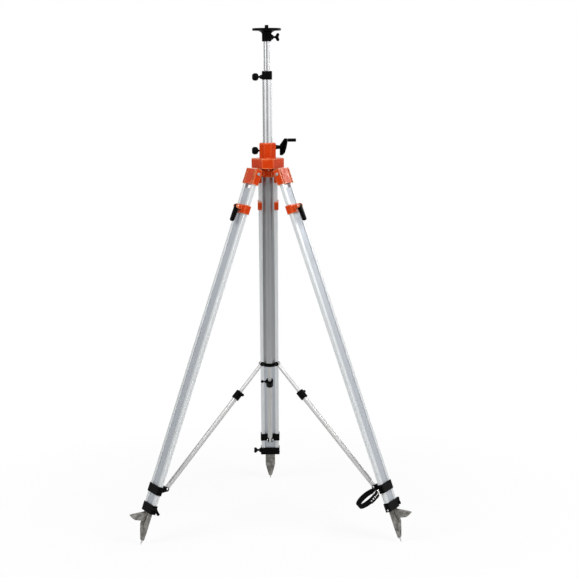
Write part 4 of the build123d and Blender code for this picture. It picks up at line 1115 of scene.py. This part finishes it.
def thickened(bm, thickness, edge):
    """Give the open skin of a bmesh a thickness and round its rims."""
    bm.normal_update()
    bmesh.ops.solidify(bm, geom=bm.faces[:], thickness=thickness)
    ease_creases(bm, strap_crease, edge)


def strap_loop():
    bm = bmesh.new()
    made = bmesh.ops.create_circle(bm, segments=strap_segments, radius=1.0)
    middle = strap_thickness / 2
    for vertex in made["verts"]:
        vertex.co = (vertex.co.x * (half_reach - middle), vertex.co.y * (half_breadth - middle), -half_strap)
    grown = bmesh.ops.extrude_edge_only(bm, edges=bm.edges[:])["geom"]
    bmesh.ops.translate(bm, verts=of_kind(bmesh.types.BMVert, grown), vec=(0, 0, 2 * half_strap))
    bmesh.ops.recalc_face_normals(bm, faces=bm.faces)
    thickened(bm, strap_thickness, strap_edge)
    finish_piece(bm, "strap_loop", "leg_right", "strap_webbing", strap_place, ["leg_strap"])


def strap_tail():
    """The free end of the strap, lying outside the loop, with a pointed tip."""
    bm = bmesh.new()
    bmesh.ops.create_grid(bm, x_segments=tail_steps, y_segments=1, size=1.0)
    for vertex in bm.verts:
        share = (1 + vertex.co.x) / 2
        taper = 1 - tip_cut * max(0.0, share - tip_start) / (1 - tip_start)
        lift = tail_gap + tail_lift * max(0.0, share - lift_start) ** 2
        place = strap_place.inverted() @ on_loop(tail_start + (tail_stop - tail_start) * share, lift)
        vertex.co = place @ Vector((0.0, vertex.co.y * half_strap * taper, 0.0))
    thickened(bm, tail_thickness, tail_edge)
    finish_piece(bm, "strap_tail", "leg_right", "strap_webbing", strap_place)


strap_loop()
strap_tail()
print("made a strap", round(2 * half_strap / mm), "mm wide and its tail")

# %% [markdown]
# The fittings of the strap are bright steel.
# The buckle is a rounded face with its middle taken out, and the eyelets are small turned rings.

# %% Buckle
buckle_turn = math.radians(142.0)
buckle_length = 17.0 * mm
buckle_corner = 2.5 * mm
buckle_bar = 2.8 * mm
buckle_thickness = 2.4 * mm
buckle_edge = 0.5 * mm
buckle_gap = 1.5 * mm
prong_radius = 1.2 * mm


def strap_buckle():
    """A rectangular frame of flat bar, with a prong across it."""
    place = on_loop(buckle_turn, buckle_gap)
    bm = bmesh.new()
    bmesh.ops.create_grid(bm, x_segments=1, y_segments=1, size=1.0)
    bmesh.ops.scale(bm, vec=(buckle_length / 2, half_buckle, 1.0), verts=bm.verts)
    bevel(bm, bm.verts[:], buckle_corner, segments=4, affect="VERTICES")
    plate = max(bm.faces, key=lambda item: item.calc_area())
    bmesh.ops.inset_region(
        bm, faces=[plate], thickness=buckle_bar, use_even_offset=True, use_boundary=True
    )
    bmesh.ops.delete(bm, geom=[plate], context="FACES")
    thickened(bm, buckle_thickness, buckle_edge)
    finish_piece(bm, "strap_buckle", "leg_right", "zinc_steel", place)
    prong = bmesh.new()
    bmesh.ops.create_cone(
        prong,
        cap_ends=True,
        segments=12,
        radius1=prong_radius,
        radius2=0.75 * prong_radius,
        depth=buckle_length,
    )
    tilt = Matrix.Translation((0, 0, buckle_thickness)) @ Matrix.Rotation(math.pi / 2, 4, "Y")
    finish_piece(prong, "strap_prong", "leg_right", "zinc_steel", place @ tilt)


strap_buckle()
print("made a buckle", round(2 * half_buckle / mm), "mm wide")

# %% Eyelets and rivet
eyelet_gap = 3.2 * mm
eyelet_radius = 3.1 * mm
eyelet_bore = 1.5 * mm
eyelet_depth = 0.6 * mm
eyelet_crown = 0.9 * mm
eyelet_lip = 0.5 * mm
eyelet_rim = 0.4 * mm
eyelet_turns = (126.0, 114.0, 102.0)
rivet_shank = 2.5 * mm
rivet_half = 6.0 * mm


def strap_eyelet(number, turn):
    bm = bmesh.new()
    turned(bm, [
        (eyelet_bore, -eyelet_depth),
        (eyelet_bore, eyelet_lip),
        ((eyelet_bore + eyelet_radius) / 2, eyelet_crown),
        (eyelet_radius, eyelet_rim),
        (eyelet_radius, -eyelet_depth),
        (eyelet_bore, -eyelet_depth),
    ], steps=24)
    place = on_loop(turn, eyelet_gap)
    finish_piece(bm, f"strap_eyelet_{number}", "leg_right", "zinc_steel", place)


def strap_rivet():
    bm = bmesh.new()
    ends = (-rivet_half, rivet_half)
    turned(bm, [(0.0, ends[0]), (rivet_shank, ends[0]), (rivet_shank, ends[1]), (0.0, ends[1])], steps=20)
    finish_piece(bm, "strap_rivet", "leg_right", "zinc_steel", on_loop(math.pi))


for number, degrees in enumerate(eyelet_turns):
    strap_eyelet(number, math.radians(degrees))
strap_rivet()
print("made", len(eyelet_turns), "eyelets and a rivet")

# %% [markdown]
# The floor is a wide pale sheet that still takes the shadow of the feet.
# To the camera it shines by itself, fully so further out, and the picture stays on white.
# Metal mirrors it as the lamps light it, bright in the middle and dim further off, which draws the tubes.

# %% Floor
def pale_floor():
    material, tree, shader, place = new_finish("pale_floor")
    tone = mixed(tree, noise_on(tree, place, 3.0), (0.80, 0.80, 0.80), (0.84, 0.84, 0.84))
    tree.links.new(tone, shader.inputs["Base Color"])
    shader.inputs["Roughness"].default_value = 0.9
    glow = add_node(tree, "ShaderNodeEmission", {"Color": (1.0, 1.0, 1.0, 1.0), "Strength": 1.0})
    reach = add_node(tree, "ShaderNodeVectorMath", operation="LENGTH")
    tree.links.new(place, reach.inputs[0])
    fade = between(tree, reach.outputs["Value"], 0.9, 1.0, 0.7, 1.6)
    path = add_node(tree, "ShaderNodeLightPath")
    share = joined(tree, "MULTIPLY", path.outputs["Is Camera Ray"], fade)
    blend = shader_between(tree, share, shader.outputs["BSDF"], glow.outputs["Emission"])
    tree.links.new(blend, tree.nodes["Material Output"].inputs["Surface"])
    return material


floor_half = 9.0
bm = bmesh.new()
bmesh.ops.create_grid(bm, x_segments=1, y_segments=1, size=floor_half)
floor_mesh = bpy.data.meshes.new("floor")
bm.to_mesh(floor_mesh)
bm.free()
floor_mesh.materials.append(pale_floor())
floor = bpy.data.objects.new("floor", floor_mesh)
bpy.context.scene.collection.objects.link(floor)
print("floor of", 2 * floor_half, "m")

# %% [markdown]
# The studio is a white room with dark flats at its two sides and a dark corner where the camera stands.
# Metal shows what stands around it: the flats draw the tubes' grey edges, the dark corner their middle line.
# The camera itself sees plain white. Surfaces take little light from the room, and most of it from the lamps.

# %% World
def studio_room():
    world = bpy.data.worlds.new("studio_room")
    world.use_nodes = True
    tree = world.node_tree
    light = tree.nodes["Background"]
    light.inputs["Color"].default_value = (0.96, 0.98, 1.0, 1.0)
    light.inputs["Strength"].default_value = 0.22
    direction = add_node(tree, "ShaderNodeSeparateXYZ")
    tree.links.new(add_node(tree, "ShaderNodeTexCoord").outputs["Generated"], direction.inputs["Vector"])
    left = between(tree, direction.outputs["X"], 0.24, 0.97, -0.90, -0.76)
    right = between(tree, direction.outputs["X"], 0.97, 0.70, 0.84, 0.95)
    front = between(tree, direction.outputs["Y"], 0.26, 0.97, -0.93, -0.80)
    flats = joined(tree, "MINIMUM", joined(tree, "MINIMUM", left, right), front)
    mirrored = add_node(tree, "ShaderNodeBackground", {"Color": (1.0, 1.0, 1.0, 1.0)})
    tree.links.new(flats, mirrored.inputs["Strength"])
    white = add_node(tree, "ShaderNodeBackground", {"Color": (1.0, 1.0, 1.0, 1.0), "Strength": 1.0})
    path = add_node(tree, "ShaderNodeLightPath")
    glossy = path.outputs["Is Glossy Ray"]
    room = shader_between(tree, glossy, light.outputs["Background"], mirrored.outputs["Background"])
    room = shader_between(tree, path.outputs["Is Camera Ray"], room, white.outputs["Background"])
    tree.links.new(room, tree.nodes["World Output"].inputs["Surface"])
    return world


bpy.context.scene.world = studio_room()
print("room set up")

# %% [markdown]
# Two large soft lamps hang high in front, one at each side, and the right one is the key.
# At that height no upright tube mirrors them, so the metal shows the even room and stays below white.
# A small lamp behind on the right brings out the faces that turn away on that side.

# %% Lamps
def soft_lamp(name, place, size, watts):
    """A square lamp that looks at the middle of the tripod."""
    data = bpy.data.lights.new(name, "AREA")
    data.size = size
    data.energy = watts
    lamp = bpy.data.objects.new(name, data)
    bpy.context.scene.collection.objects.link(lamp)
    aim = (lamp_target - Vector(place)).to_track_quat("-Z", "Y")
    lamp.matrix_world = Matrix.Translation(place) @ aim.to_matrix().to_4x4()


lamp_target = Vector((0.0, 0.0, 1.2))
soft_lamp("key_lamp", (3.0, -2.6, 4.4), 2.6, 205.0)
soft_lamp("fill_lamp", (-3.2, -2.6, 4.0), 2.6, 165.0)
soft_lamp("side_lamp", (3.8, 2.6, 2.45), 0.5, 16.0)
print("studio lit")
